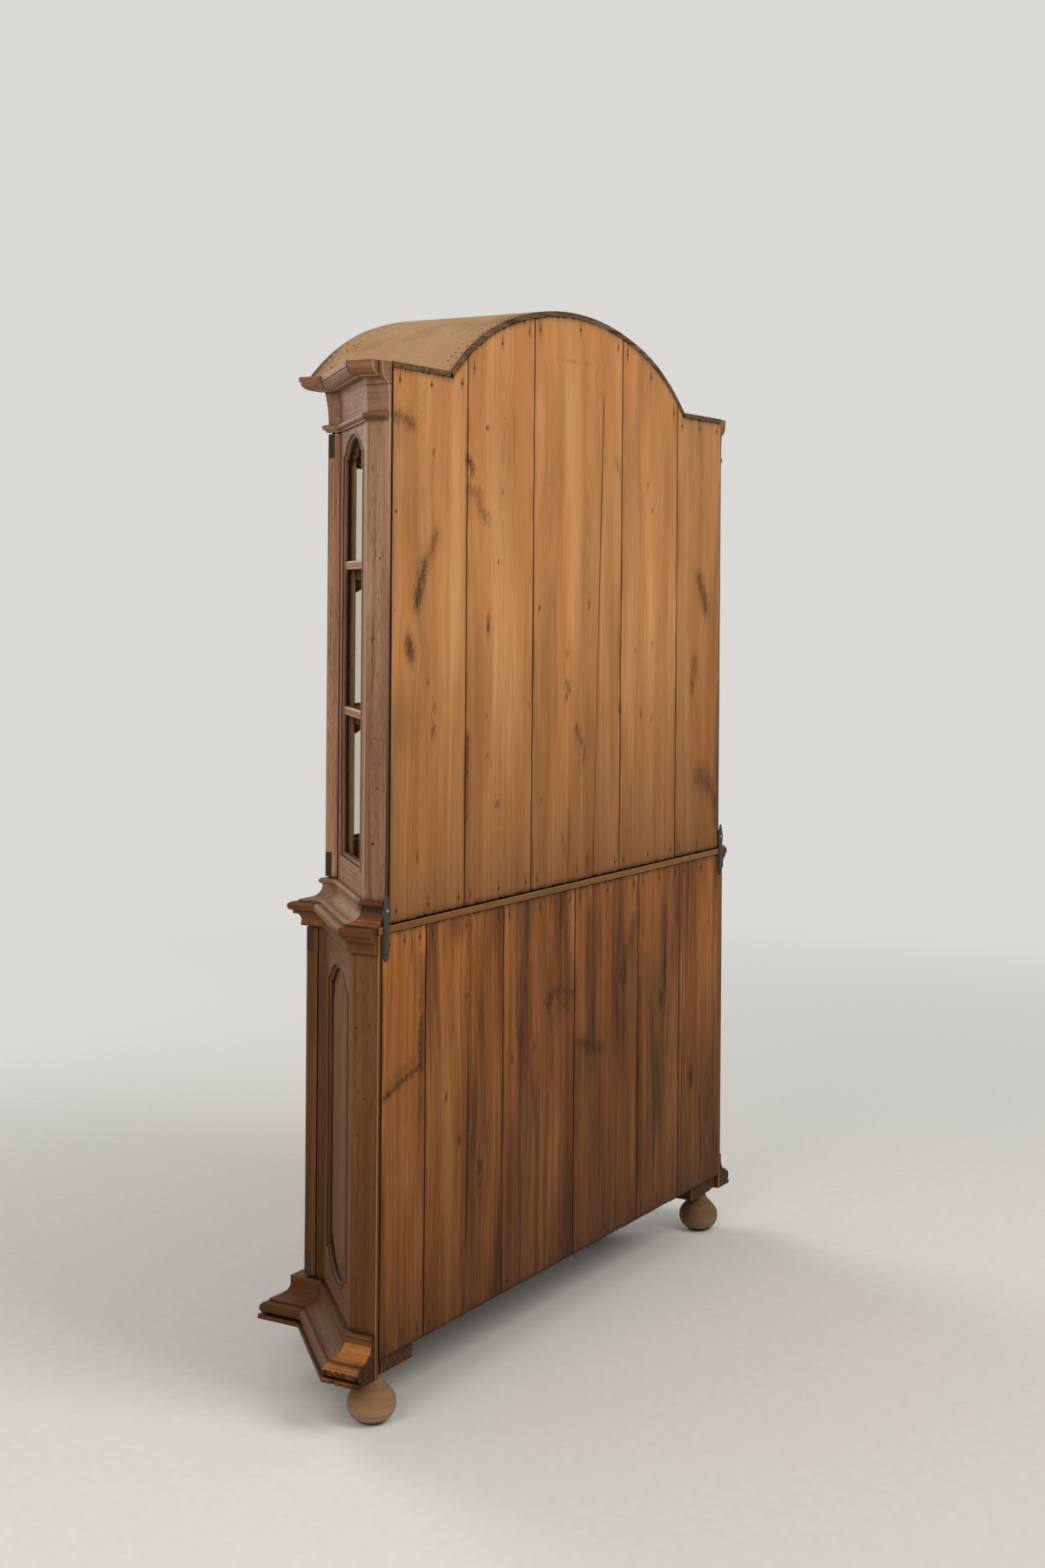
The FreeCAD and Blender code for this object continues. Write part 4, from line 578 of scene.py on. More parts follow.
def age(shape, dice, arris, sink, pitch):
    """Bevel, cut up and wear one solid, and write its wood attributes."""
    way = grain_way(shape)
    rubbed = abs(way.y) > 0.9 and extent(shape, WAYS[1])[0] > REAR_RETURN
    for face in shape.faces:
        face.material_index = int(rubbed)
    bmesh.ops.dissolve_limit(shape, angle_limit=FLAT, verts=shape.verts, edges=shape.edges)
    edge_mark = shape.verts.layers.float.new("edge")
    # This layer holds dirt, and painted shade on some pieces.
    shape.verts.layers.float.new("dirt_and_shade")
    sharp = [e for e in shape.edges if len(e.link_faces) == 2 and e.calc_face_angle() > SHARP]
    if sharp and arris:
        made = bmesh.ops.bevel(shape, geom=sharp, offset=arris, segments=3, profile=0.5,
                               affect="EDGES", clamp_overlap=True)
        rounded = set(made["faces"])
        for vert in made["verts"]:
            if all(face in rounded for face in vert.link_faces):
                vert[edge_mark] = 1.0
    start, end = extent(shape, way)
    for step in range(1, int((end - start) / pitch)):
        cut(shape, way * (start + step * pitch), way)
    side = UP if abs(way.z) < 0.5 else WAYS[0]
    third = way.cross(side)
    shift = place_in_log(dice)
    tilt = dice.uniform(0, math.pi)
    grain = shape.verts.layers.float_vector.new("grain")
    ring = shape.verts.layers.float.new("ring")
    tone = shape.verts.layers.float.new("tone")
    shade = dice.uniform(-PIECE_TONE, PIECE_TONE)
    shape.normal_update()
    for vert in shape.verts:
        along, across, deep = vert.co.dot(way), vert.co.dot(side), vert.co.dot(third)
        vert[grain] = Vector((along, across, deep)) + shift
        vert[ring] = (across * math.cos(tilt) + deep * math.sin(tilt)) / (RING_MM * MM)
        vert[tone] = shade
        # Broad and fine noise pull the skin in by nothing up to the full sink.
        pull = (noise.noise(vert.co * BROAD_PER_METRE + shift) * 0.5
                + noise.noise(vert.co * FINE_PER_METRE + shift) * 0.3)
        vert.co -= vert.normal * sink * (0.5 + 0.5 * clamp(pull * 1.6, -1.0))
    return shape


def hold_inside(points, box):
    """Hold every point inside a box."""
    for point in points:
        point.co = [clamp(c, low, high) for c, low, high in zip(point.co, *box)]


print("edges over", round(math.degrees(SHARP)), "degrees get an arris")

# %% [markdown]
# ## Finishing a piece
#
# A piece is finished when it has a mesh at the origin, a body to ride on, the CAD node that it
# stands for, and a material. Big flat faces beside tiny bevels look pillowed with plain smooth
# shading, so a Weighted Normal modifier lets the big faces win, and its result is kept.

# %% The finishing function
WOOD_SHARP_DEGREES = 50


def finish_piece(node, shape, materials):
    """Turn a bmesh into a finished piece that replaces a CAD node."""
    mesh = bpy.data.meshes.new("aged_" + node)
    shape.to_mesh(mesh)
    shape.free()
    for material in materials:
        mesh.materials.append(material)
    smooth(mesh, WOOD_SHARP_DEGREES)
    piece = put(mesh.name, mesh)
    modifier = piece.modifiers.new("big faces win", "WEIGHTED_NORMAL")
    modifier.keep_sharp = True
    keep_result(piece)
    attach(piece, node)
    return piece


def keep_result(piece):
    """Replace a piece's mesh by what its modifiers make, and drop them."""
    graph = bpy.context.evaluated_depsgraph_get()
    result = bpy.data.meshes.new_from_object(piece.evaluated_get(graph), depsgraph=graph)
    result.name = piece.name
    piece.modifiers.clear()
    piece.data = result


def join(shapes):
    """One bmesh out of several."""
    whole = bmesh.new()
    for shape in shapes:
        part = bpy.data.meshes.new("part")
        shape.to_mesh(part)
        shape.free()
        whole.from_mesh(part)
        bpy.data.meshes.remove(part)
    return whole


print("pieces are sharp above", WOOD_SHARP_DEGREES, "degrees")

# %% [markdown]
# ## Frames, posts, mouldings and shelves
#
# Most of the cupboard is straight joinery. All of it goes through the ageing function, panels
# with a finer arris than the rest.

# %% Age the joinery
ARRIS = 1.8 * MM
FINE_ARRIS = 0.9 * MM
IRON_ARRIS = 0.4 * MM
BAR_ARRIS = 4.5 * MM
BAR_HEIGHT = 25 * MM
SINK = 0.5 * MM
PITCH = 40 * MM
ROOF_PITCH = 20 * MM
BOARD_NAMES = ("upper_back_board_", "lower_back_board_")
LOWER_OAK = ("lower_", "plinth_", "waist_")
RUBBED = {"waist_sides": red_oak, "upper_base_sides": ledge_oak, "arched_cornice": roof_pine}
WOODEN = ("oak", "pine_light", "pine_dark", "pine_roof")
# Tones per node: painted light on faces the lamps barely reach, painted shade on parts in shadow.
NODE_TONE_LIGHT_AND_SHADE = {"upper_door_frame_right": 0.4, "upper_front_posts": 0.18, "lower_front_frame": -0.3,
              "lower_door_frame_right": -0.15, "waist_front": -0.1, "foot_boards": -0.3,
              "plinth_front": 0.2, "upper_cant_frame_right": 0.06}
OWN_CELLS = BOARD_NAMES + ("roof_sheet", "shoulder_boards", "upper_cant_frame", "lower_cant_frame",
                           "upper_door_frame", "lower_door_frame", "arched_cornice", "plinth_sides",
                           "side_cornices", "upper_rear_posts", "arched_frieze", "upper_base_sides")
dice = random.Random(1870)


def finishes_of(node):
    """A node's finish and the one of its rubbed returns. Oak goes by where it stands."""
    if slot_of[node] != "oak":
        return [finishes[slot_of[node]]]
    if node.startswith(LOWER_OAK):
        return [lower_oak, RUBBED.get(node, orange_oak)]
    return [upper_oak, RUBBED.get(node, tan_oak)]


def aged_solids(node, arris=ARRIS, sink=SINK, pitch=PITCH, then=None):
    """All solids of a node, aged, in one shape that stays inside the node's box."""
    shapes = []
    for shape in closed_solids(node):
        is_bar = "frame" in node and reach(shape, UP) < BAR_HEIGHT
        shapes.append(age(shape, dice, BAR_ARRIS if is_bar else arris, sink, pitch))
        if then:
            then(shape)
    whole = join(shapes)
    hold_inside(whole.verts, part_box(node))
    tone = whole.verts.layers.float["tone"]
    for vert in whole.verts:
        vert[tone] += NODE_TONE_LIGHT_AND_SHADE.get(node, 0.0)
    return whole


made = []
for node in sorted(frame["nodes"]):
    if slot_of[node] in WOODEN and not node.startswith(OWN_CELLS):
        arris = FINE_ARRIS if "panel" in node else ARRIS
        made.append(finish_piece(node, aged_solids(node, arris), finishes_of(node)))
print("aged", len(made), "pieces,", sum(len(p.data.polygons) for p in made), "faces")

# %% [markdown]
# ## The crown strip and the knocked plinth
#
# The roof goes on over the top of the arched cornice as one straw-coloured strip, so the faces
# of the cornice on the arch's outermost circle take the roof's finish. At the floor, brooms and
# boots have bitten into the round of the plinth's rear returns. They are cut into a fine net
# first, and then ridged noise on a slanting line pulls the round in and darkens what it bit.

# %% Crown strip and plinth returns
CROWN_BAND = 3.0 * MM
CROWN_SOOT = 60 * MM
ROUND_LOW = 109.0 * MM
ROUND_HIGH = 131.0 * MM
ROUND_TURN = ROUND_HIGH - 7.0 * MM
FILLET_TOP = 106.0 * MM
FILLET_DEPTH = 12.0 * MM
SHADOW_LOW = 164.0 * MM
NET = 2.5 * MM
BITE = 3.0 * MM
BITE_FADE = 3.0 * MM
SHADED_END = 1.0 * MM
COVE_TONE = 0.15
GOUGES_PER_METRE = (190, 170, 26)
GOUGE_SLOPE = 3.2
CHIPS_PER_METRE = 85
CHIP = 5 * MM
CHIP_FADE = 8 * MM


def mark_crown(shape):
    """Give the faces on an arch's outermost circle the second finish, and soot its front."""
    half = extent(shape, WAYS[0])[1]
    crown = extent(shape, UP)[1]
    foot = max(vert.co.z for vert in shape.verts if vert.co.x > half - CROWN_BAND)
    radius = (half ** 2 + (crown - foot) ** 2) / (2 * (crown - foot))
    centre = Vector((0, 0, crown - radius))
    for face in shape.faces:
        spoke = face.calc_center_median() - centre
        spoke.y = 0
        face.material_index = int(spoke.length > radius - CROWN_BAND)
    dirt_and_shade = shape.verts.layers.float["dirt_and_shade"]
    front = extent(shape, WAYS[1])[0]
    for vert in shape.verts:
        low_end = clamp((crown - CROWN_SOOT - vert.co.z) / CROWN_SOOT)
        vert[dirt_and_shade] = 0.7 * low_end if vert.co.y < front + CROWN_BAND else 0.0


def bite_return(shape):
    """Cut a rear plinth return into a net and bite dark gouges into its round and its foot."""
    if extent(shape, WAYS[1])[0] <= REAR_RETURN:
        return
    for way in (WAYS[1], UP):
        start, end = extent(shape, way)
        for step in range(1, int((end - start) / NET)):
            cut(shape, way * (start + step * NET), way)
    dirt_and_shade, tone = shape.verts.layers.float["dirt_and_shade"], shape.verts.layers.float["tone"]
    side = 1 if extent(shape, WAYS[0])[0] > 0 else -1
    face_x = max(abs(vert.co.x) for vert in shape.verts)
    rear = extent(shape, WAYS[1])[1]
    shape.normal_update()
    for vert in shape.verts:
        y, z = vert.co.y, vert.co.z
        if side * vert.normal.x > 0.3 and ROUND_LOW < z < ROUND_HIGH:
            across, down, along = GOUGES_PER_METRE
            slant = noise.noise(Vector((y * across + z * down, (y - z) * along, side * 3.0)))
            ridge = max(0.0, 1 - abs(slant) * GOUGE_SLOPE) * min(1, (z - ROUND_LOW) / BITE_FADE)
            ridge *= min(1, (ROUND_TURN - z) / BITE_FADE) if z < ROUND_TURN else 0
            vert.co.x -= side * BITE * ridge
            vert[dirt_and_shade] = 0.9 * ridge
        elif z < FILLET_TOP and side * vert.co.x > face_x - FILLET_DEPTH:
            chip = max(0.0, noise.noise(Vector((y * CHIPS_PER_METRE, side * 7.0, 0.5))) + 0.15)
            vert.co.z += CHIP * chip * (FILLET_TOP - z) / CHIP_FADE
            vert[dirt_and_shade] = 0.35 + chip
        # Above the cove the return gets painted shadow.
        elif z > SHADOW_LOW:
            vert[dirt_and_shade] = 0.5
        # The rear end face gets painted shadow.
        if y > rear - SHADED_END:
            vert[dirt_and_shade] = max(vert[dirt_and_shade], 0.75)
        vert[tone] += COVE_TONE if ROUND_HIGH < z < SHADOW_LOW else 0


for node, pitch, change in (("arched_cornice", ROOF_PITCH, mark_crown),
                            ("plinth_sides", PITCH, bite_return)):
    finish_piece(node, aged_solids(node, pitch=pitch, then=change), finishes_of(node))
print("crown strip marked, plinth returns bitten")

# %% [markdown]
# ## The flared frieze
#
# The frieze between the small astragal and the cornice is not upright: a shallow cavetto was
# planed on all its faces, so that it flares out by a few millimetres under the cornice. Each
# solid that shows there is cut level by level, and the points on its outer faces are pushed out
# by the square of their height. On the rear posts the band of the frieze also has its grain
# lying down and a joint below the cornice. The mitres of the cornice have opened and are dark.

# %% Flare the frieze
ASTRAGAL_HEIGHT = 16 * MM
FRIEZE_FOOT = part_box("arched_astragal")[0].z + ASTRAGAL_HEIGHT
FRIEZE_HEAD = 2018 * MM
FRIEZE_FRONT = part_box("arched_frieze")[0].y
FRIEZE_SHADE = 0.1
FLARE = 6.0 * MM
FLARE_CUTS = 9
FADE_FROM = 470 * MM
FADE_TO = 500 * MM
SIDE_FACE = 745 * MM
SIDE_CORNER = 145 * MM
FRONT_CORNER = 530 * MM
FRONT_STEP = -70 * MM
ON_FACE = 1.4 * MM
HALF_MITRE = math.radians(22.5)


def cut_levels(shape, levels):
    """Cut a shape with level planes."""
    for level_z in levels:
        cut(shape, (0, 0, level_z), UP)


def flare_frieze(shape):
    """Push the frieze's outer faces out towards its head."""
    cut_levels(shape, np.linspace(FRIEZE_FOOT, FRIEZE_HEAD, FLARE_CUTS))
    cant_reach = (SIDE_FACE - SIDE_CORNER) * CANT
    tone = shape.verts.layers.float["tone"]
    for vert in shape.verts:
        share = clamp((vert.co.z - FRIEZE_FOOT) / (FRIEZE_HEAD - FRIEZE_FOOT))
        push = FLARE * share ** 2
        vert[tone] -= FRIEZE_SHADE if share > 0 else 0
        side = math.copysign(1, vert.co.x)
        x, y = abs(vert.co.x), vert.co.y
        on_side = x > SIDE_FACE - ON_FACE and y > SIDE_CORNER - 5 * MM
        on_cant = (x - y) * CANT > cant_reach - ON_FACE and y > FRONT_STEP - ON_FACE
        on_return = abs(x - FRONT_CORNER) < ON_FACE and y < FRONT_STEP + ON_FACE
        if on_side or on_return:
            vert.co.x += side * push
            vert.co.y -= push * math.tan(HALF_MITRE) if on_cant else 0
        elif on_cant:
            vert.co.x += side * push * CANT
            vert.co.y -= push * CANT
        if y < FRIEZE_FRONT + ON_FACE:
            vert.co.y -= push * clamp((x - FADE_FROM) / (FADE_TO - FADE_FROM))


print("the frieze flares by", round(FLARE / MM, 1), "mm up to", round(FRIEZE_HEAD, 3), "m")

# %% The frieze's band on the rear posts, and their soot
BAND_TONE = -0.16
BAND_START = FRIEZE_FOOT - 4 * MM
BAND_CUTS = (FRIEZE_FOOT - 12 * MM, FRIEZE_FOOT - 3 * MM)
JOINT_Z = 2003 * MM
JOINT_WIDTH = 1.4 * MM
POST_SOOT = 0.75
SOOT_REACH = 1.1
SOOT_EDGE = 3 * MM
SOOT_CUTS = (3.5 * MM, 6.0 * MM)


def lay_grain_down(shape):
    """Turn the grain of a post's frieze band level, with a dark joint below the cornice."""
    cut_levels(shape, BAND_CUTS + (JOINT_Z - JOINT_WIDTH, JOINT_Z, JOINT_Z + JOINT_WIDTH))
    grain, dirt_and_shade = shape.verts.layers.float_vector["grain"], shape.verts.layers.float["dirt_and_shade"]
    tone = shape.verts.layers.float["tone"]
    for vert in shape.verts:
        if vert.co.z > BAND_START:
            vert[grain] = Vector((vert.co.y, vert.co.z, vert.co.x))
            vert[tone] += BAND_TONE
        if abs(vert.co.z - JOINT_Z) < 0.5 * MM:
            vert[dirt_and_shade] = 1.0


def soot_rear_edge(shape):
    """Soot on the rear arris of the posts, heaviest at the foot."""
    foot = extent(shape, UP)[0]
    rear = extent(shape, WAYS[1])[1]
    for setback in SOOT_CUTS:
        cut(shape, (0, rear - setback, 0), WAYS[1])
    dirt_and_shade, edge = shape.verts.layers.float["dirt_and_shade"], shape.verts.layers.float["edge"]
    for vert in shape.verts:
        if vert.co.y > rear - SOOT_EDGE:
            share = max(0.0, 1 - (vert.co.z - foot) / SOOT_REACH)
            vert[edge] *= 1 - share
            vert[dirt_and_shade] = max(vert[dirt_and_shade], POST_SOOT * share)


print("the posts' joint is at", round(JOINT_Z, 3), "m, their soot ends", SOOT_REACH, "m up")

# %% Open mitres and sooty hollows
MITRE = Vector((math.sin(HALF_MITRE), math.cos(HALF_MITRE), 0))
MITRE_WIDTH = 2.0 * MM
HOLLOW_LOW = 981 * MM
HOLLOW_HIGH = 998 * MM
HOLLOW_FADE = 8 * MM
HOLLOW_SOOT = 0.62
ROLL_DIRT = 0.42


def darken_mitres(shape):
    """Put dirt instead of wear on the two mitres of each side cornice."""
    corners = [Vector((SIDE_FACE, SIDE_CORNER, 0)), Vector((FRONT_CORNER, FRONT_STEP, 0))]
    for corner in corners:
        for side in (1, -1):
            turned = Vector((side, 1, 0))
            for steps in (-2, -1, 1, 2):
                cut(shape, (corner + MITRE * MITRE_WIDTH * steps) * turned, MITRE * turned)
    dirt_and_shade, edge = shape.verts.layers.float["dirt_and_shade"], shape.verts.layers.float["edge"]
    for vert in shape.verts:
        for corner in corners:
            off = Vector((abs(vert.co.x), vert.co.y, 0)) - corner
            if abs(off.dot(MITRE)) < MITRE_WIDTH * 0.9 and vert.co.z > FRIEZE_HEAD - MM:
                vert[edge] = 0.0
                vert[dirt_and_shade] = 0.9


def soot_hollow(shape):
    """Soot in the upper half of the hollow of the base's rear returns."""
    cut_levels(shape, (HOLLOW_LOW, HOLLOW_HIGH))
    dirt_and_shade = shape.verts.layers.float["dirt_and_shade"]
    for vert in shape.verts:
        if vert.co.y > REAR_RETURN and HOLLOW_LOW < vert.co.z:
            most = HOLLOW_SOOT if vert.co.z < HOLLOW_HIGH else ROLL_DIRT
            vert[dirt_and_shade] = most * min(1.0, (vert.co.z - HOLLOW_LOW) / HOLLOW_FADE)


print("a mitre is dark over", round(MITRE_WIDTH / MM, 1), "mm on either side")

# %% Make the pieces with changes of their own
CHANGES = {"side_cornices": [darken_mitres],
           "upper_rear_posts": [flare_frieze, lay_grain_down, soot_rear_edge],
           "arched_frieze": [flare_frieze],
           "upper_base_sides": [soot_hollow]}
for node, changes in CHANGES.items():
    whole = aged_solids(node)
    for change in changes:
        change(whole)
    finish_piece(node, whole, finishes_of(node))
print("made with changes of their own:", ", ".join(CHANGES))

# %% [markdown]
# ## Moulded openings
#
# The glazed and panelled openings of the cants and doors have a moulding run around their inner
# edge: a bead, a narrow groove called a quirk, and a convex ovolo. Planes cut it on the real
# frame. Here its profile is swept round the opening. The line of the opening is read from the
# rails of the CAD frame, so the arched heads come out right by themselves, and each corner gets
# a true mitre.

# %% The moulding's profile
OVOLO_WIDTH = 6.5
OVOLO_DEPTH = 8.0
OVOLO_START = 1.5
ROUND_STEPS = 5
OVOLO_BACK = 11.0
# Painted shade in the quirk and at the deep back of the ovolo, where the reveal lies in shadow.
OVOLO_SHADE = 1.1
BEAD_MIDDLE = -4.2
BEAD_RADIUS = 2.8
BEAD_HEIGHT = 1.8
QUIRK_DEPTH = 3.2
QUIRK_WIDTH = 1.2
SLIP = 0.2


def moulding_profile():
    """Points (inset, depth, painted shade) in mm of the closed profile: bead, quirk, then ovolo."""
    points = [(BEAD_MIDDLE - BEAD_RADIUS, 0.8, 0.3)]
    for step in range(ROUND_STEPS + 1):
        turn = math.radians(180 * step / ROUND_STEPS)
        points.append((BEAD_MIDDLE - BEAD_RADIUS * math.cos(turn), -BEAD_HEIGHT * math.sin(turn),
                       0.6 if step in (0, ROUND_STEPS) else 0.0))
    points += [(SLIP, 0.3, 0.6), (SLIP, QUIRK_DEPTH, 1.0), (SLIP + QUIRK_WIDTH, QUIRK_DEPTH, 1.0)]
    round_width, round_depth = OVOLO_WIDTH - SLIP - QUIRK_WIDTH, OVOLO_DEPTH - OVOLO_START
    for step in range(ROUND_STEPS + 1):
        turn = math.radians(90 * step / ROUND_STEPS)
        depth = OVOLO_START + round_depth * (1 - math.cos(turn))
        points.append((SLIP + QUIRK_WIDTH + round_width * math.sin(turn), depth,
                       0.7 * OVOLO_SHADE * depth / OVOLO_BACK))
    return points + [(OVOLO_WIDTH, OVOLO_BACK, OVOLO_SHADE), (-SLIP, OVOLO_BACK, OVOLO_SHADE)]


print("the moulding's profile has", len(moulding_profile()), "points")

# %% Read the line of an opening
HAIR = 0.1 * MM


def rail_line(rail, outward, along, facing_up):
    """The edge of a rail towards the opening, from one end to the other."""
    bmesh.ops.dissolve_limit(rail, angle_limit=FLAT, verts=rail.verts, edges=rail.edges)
    rail.normal_update()
    rail.verts.index_update()
    plane = max(vert.co.dot(outward) for vert in rail.verts)
    low, high = extent(rail, along)
    links = {}
    for edge in rail.edges:
        if any(plane - vert.co.dot(outward) > HAIR for vert in edge.verts):
            continue
        walls = [f for f in edge.link_faces if abs(f.normal.dot(outward)) < 0.3]
        middle = (edge.verts[0].co + edge.verts[1].co) / 2
        at_end = min(middle.dot(along) - low, high - middle.dot(along)) < HAIR
        if not walls or at_end or walls[0].normal.z * (1 if facing_up else -1) < -0.5:
            continue
        for one, other in (edge.verts, reversed(edge.verts)):
            links.setdefault(one.index, []).append(other.index)
    rail.verts.ensure_lookup_table()
    here = min(links, key=lambda i: rail.verts[i].co.dot(along))
    line, before = [here], None
    while True:
        onward = [i for i in links[line[-1]] if i != before]
        if not onward or len(line) > len(links):
            break
        before = line[-1]
        line.append(onward[0])
    return [rail.verts[i].co.copy() for i in line]


def opening_line(node, outward):
    """The closed line round a frame's opening, on its outer face."""
    along = UP.cross(outward)
    rails = [shape for shape in closed_solids(node) if abs(grain_way(shape).z) < 0.5]
    rails.sort(key=lambda shape: sum(extent(shape, UP)))
    foot = rail_line(rails[0], outward, along, True)
    head = rail_line(rails[-1], outward, along, False)
    return foot + head[::-1]


print("a cant's opening has", len(opening_line("upper_cant_frame_right", WAYS[4])), "points")

# %% Sweep the profile along the line
SHARPEST_MITRE = 0.35


def sweep_moulding(line, outward, dice):
    """A closed moulding swept along a closed line, mitred at each corner."""
    along = UP.cross(outward)
    flat = [Vector((point.dot(along), point.z)) for point in line]
    shape = bmesh.new()
    grain = shape.verts.layers.float_vector.new("grain")
    ring_mark = shape.verts.layers.float.new("ring")
    dirt_and_shade = shape.verts.layers.float.new("dirt_and_shade")
    rings = []
    profile = moulding_profile()
    for i, point in enumerate(line):
        before = (flat[i] - flat[i - 1]).normalized()
        after = (flat[(i + 1) % len(flat)] - flat[i]).normalized()
        left = [Vector((-way.y, way.x)) for way in (before, after)]
        mitre = (left[0] + left[1]).normalized()
        mitre /= max(mitre.dot(left[0]), SHARPEST_MITRE)
        inward = along * mitre.x + UP * mitre.y
        rings.append([shape.verts.new(point + inward * inset * MM - outward * depth * MM)
                      for inset, depth, _ in profile])
    for one, other in zip(rings, rings[1:] + rings[:1]):
        for j in range(len(profile)):
            k = (j + 1) % len(profile)
            shape.faces.new((one[j], other[j], other[k], one[k]))
    bmesh.ops.recalc_face_normals(shape, faces=shape.faces)
    shift = place_in_log(dice)
    travelled = 0.0
    for i, ring in enumerate(rings):
        travelled += (line[i] - line[i - 1]).length
        for j, vert in enumerate(ring):
            vert[grain] = Vector((travelled, profile[j][0] * MM, profile[j][1] * MM)) + shift
            vert[ring_mark] = profile[j][0] / RING_MM
            # The profile's painted shade goes into the attribute for dirt and painted shade.
            vert[dirt_and_shade] = profile[j][2]
    return shape


print("a mitre widens the profile at most", round(1 / SHARPEST_MITRE, 1), "times")

# %% Aged frames with their mouldings
# The inner side of a cant's frame gets painted light, as little light reaches it through glass.
INSIDE_LIGHT = 0.9

for node in sorted(n for n in frame["nodes"] if "cant_frame" in n or "door_frame" in n):
    facing = 1 if node.endswith("right") else -1
    outward = Vector((CANT * facing, -CANT, 0)) if "cant" in node else -WAYS[1]
    line = opening_line(node, outward)
    moulding = sweep_moulding(line, outward, dice)
    whole = aged_solids(node)
    if node.startswith("upper_cant"):
        flare_frieze(whole)
    if "cant" in node:
        face = max(point.dot(outward) for point in line)
        tone = whole.verts.layers.float["tone"]
        for vert in whole.verts:
            vert[tone] += INSIDE_LIGHT if face - vert.co.dot(outward) > OVOLO_BACK * MM else 0
    finish_piece(node, join([whole, moulding]), finishes_of(node))
    print(node, len(line), "points round the opening")

# %% [markdown]
# ## The roof
#
# The roof is a thin sheet nailed over formers and bent round the crown. Dust has greyed its
# rear rim, where the end grain drinks dirt. The rim is narrow, so the sheet is first cut near
# its edge: without points there, the dirt would fade over the whole roof.

# %% Roof sheet and shoulders
RIM_CUTS_MM = (2.5, 6.0, 12.0, 30.0)
RIM_DIRT = 0.62
RIM_REACH_MM = 9


def grey_rim(shape, rear):
    """Dirt on the rear rim of a roof piece, fading inwards."""
    for setback in RIM_CUTS_MM:
        cut(shape, (0, rear - setback * MM, 0), WAYS[1])
    dirt_and_shade = shape.verts.layers.float["dirt_and_shade"]
    for vert in shape.verts:
        inwards = (rear - vert.co.y) / MM
        on_rim = inwards < RIM_CUTS_MM[0] + 0.2
        vert[dirt_and_shade] = RIM_DIRT if on_rim else 0.3 * math.exp(-inwards / RIM_REACH_MM)


for node in ("roof_sheet", "shoulder_boards"):
    whole = aged_solids(node, FINE_ARRIS, pitch=ROOF_PITCH,
                        then=lambda shape: grey_rim(shape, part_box(node)[1].y))
    finish_piece(node, whole, finishes_of(node))
print("roof made, with a dusty rim of", RIM_CUTS_MM[0], "mm")

# %% [markdown]
# ## Irons, glass and catches
#
# These CAD solids already have their final shape. The irons only lose their razor edges, and
# the rest keeps its mesh and gets its finish.

# %% Irons and glass
for node in sorted(n for n in frame["nodes"] if slot_of[n] == "iron" and n != "nails_and_screws"):
    iron = black_iron if node == "tie_straps" else door_iron
    finish_piece(node, aged_solids(node, IRON_ARRIS, 0.0), [iron, iron])
for node, item in frame["nodes"].items():
    if slot_of[node] in ("brass", "glass"):
        item.data.materials.clear()
        item.data.materials.append(finishes[slot_of[node]])
print("irons aged, glass and brass finished")

# %% [markdown]
# ## Turned feet with Geometry Nodes
#
# A turner cuts a foot by moving a chisel along a spinning block: one radius for each height.
# Geometry Nodes can follow the same rule. An upright line carries the radius at each height,
# and Curve to Mesh sweeps a circle along it, scaled by that radius. To try another foot, change
# the list, not the mesh.

# %% The turning tree
FOOT_HEIGHTS_MM = (0, 1, 3, 7, 12, 18, 25, 32, 39, 46, 53, 60, 66, 72, 78, 84, 90, 94, 96.5, 98)
FOOT_RADII_MM = (20, 22.5, 26.5, 32.5, 38.2, 43, 46.6, 48.2, 48.4, 47.4, 44.8, 40, 34.6, 28.6, 23,
                 19.4, 17.8, 18.2, 20.5, 23.5)
TURNED_SIDES = 96


def new_tree(name, inputs):
    """A Geometry Nodes tree with named inputs; gives the tree, its input and its output node."""
    tree = bpy.data.node_groups.new(name, "GeometryNodeTree")
    tree.interface.new_socket("Geometry", in_out="OUTPUT", socket_type="NodeSocketGeometry")
    tree.interface.new_socket("Geometry", in_out="INPUT", socket_type="NodeSocketGeometry")
    for key, kind in inputs:
        tree.interface.new_socket(key, in_out="INPUT", socket_type="NodeSocket" + kind)
    return tree, tree.nodes.new("NodeGroupInput").outputs, tree.nodes.new("NodeGroupOutput")


def run_tree(piece, tree, values):
    """Run a tree on a piece with its inputs set, and keep the mesh that it makes."""
    modifier = piece.modifiers.new(tree.name, "NODES")
    modifier.node_group = tree
    sockets = {s.name: s.identifier for s in tree.interface.items_tree if s.in_out == "INPUT"}
    for key, value in values.items():
        modifier[sockets[key]] = value
    keep_result(piece)


def point_piece(name, points, edges=(), marks=None):
    """An object of loose points, with float or vector attributes, for a tree to start from."""
    mesh = bpy.data.meshes.new(name)
    mesh.from_pydata([tuple(point) for point in points], list(edges), [])
    for mark, values in (marks or {}).items():
        vector = np.ndim(values[0]) > 0
        layer = mesh.attributes.new(mark, "FLOAT_VECTOR" if vector else "FLOAT", "POINT")
        layer.data.foreach_set("vector" if vector else "value", np.ravel(values))
    return put(name, mesh)


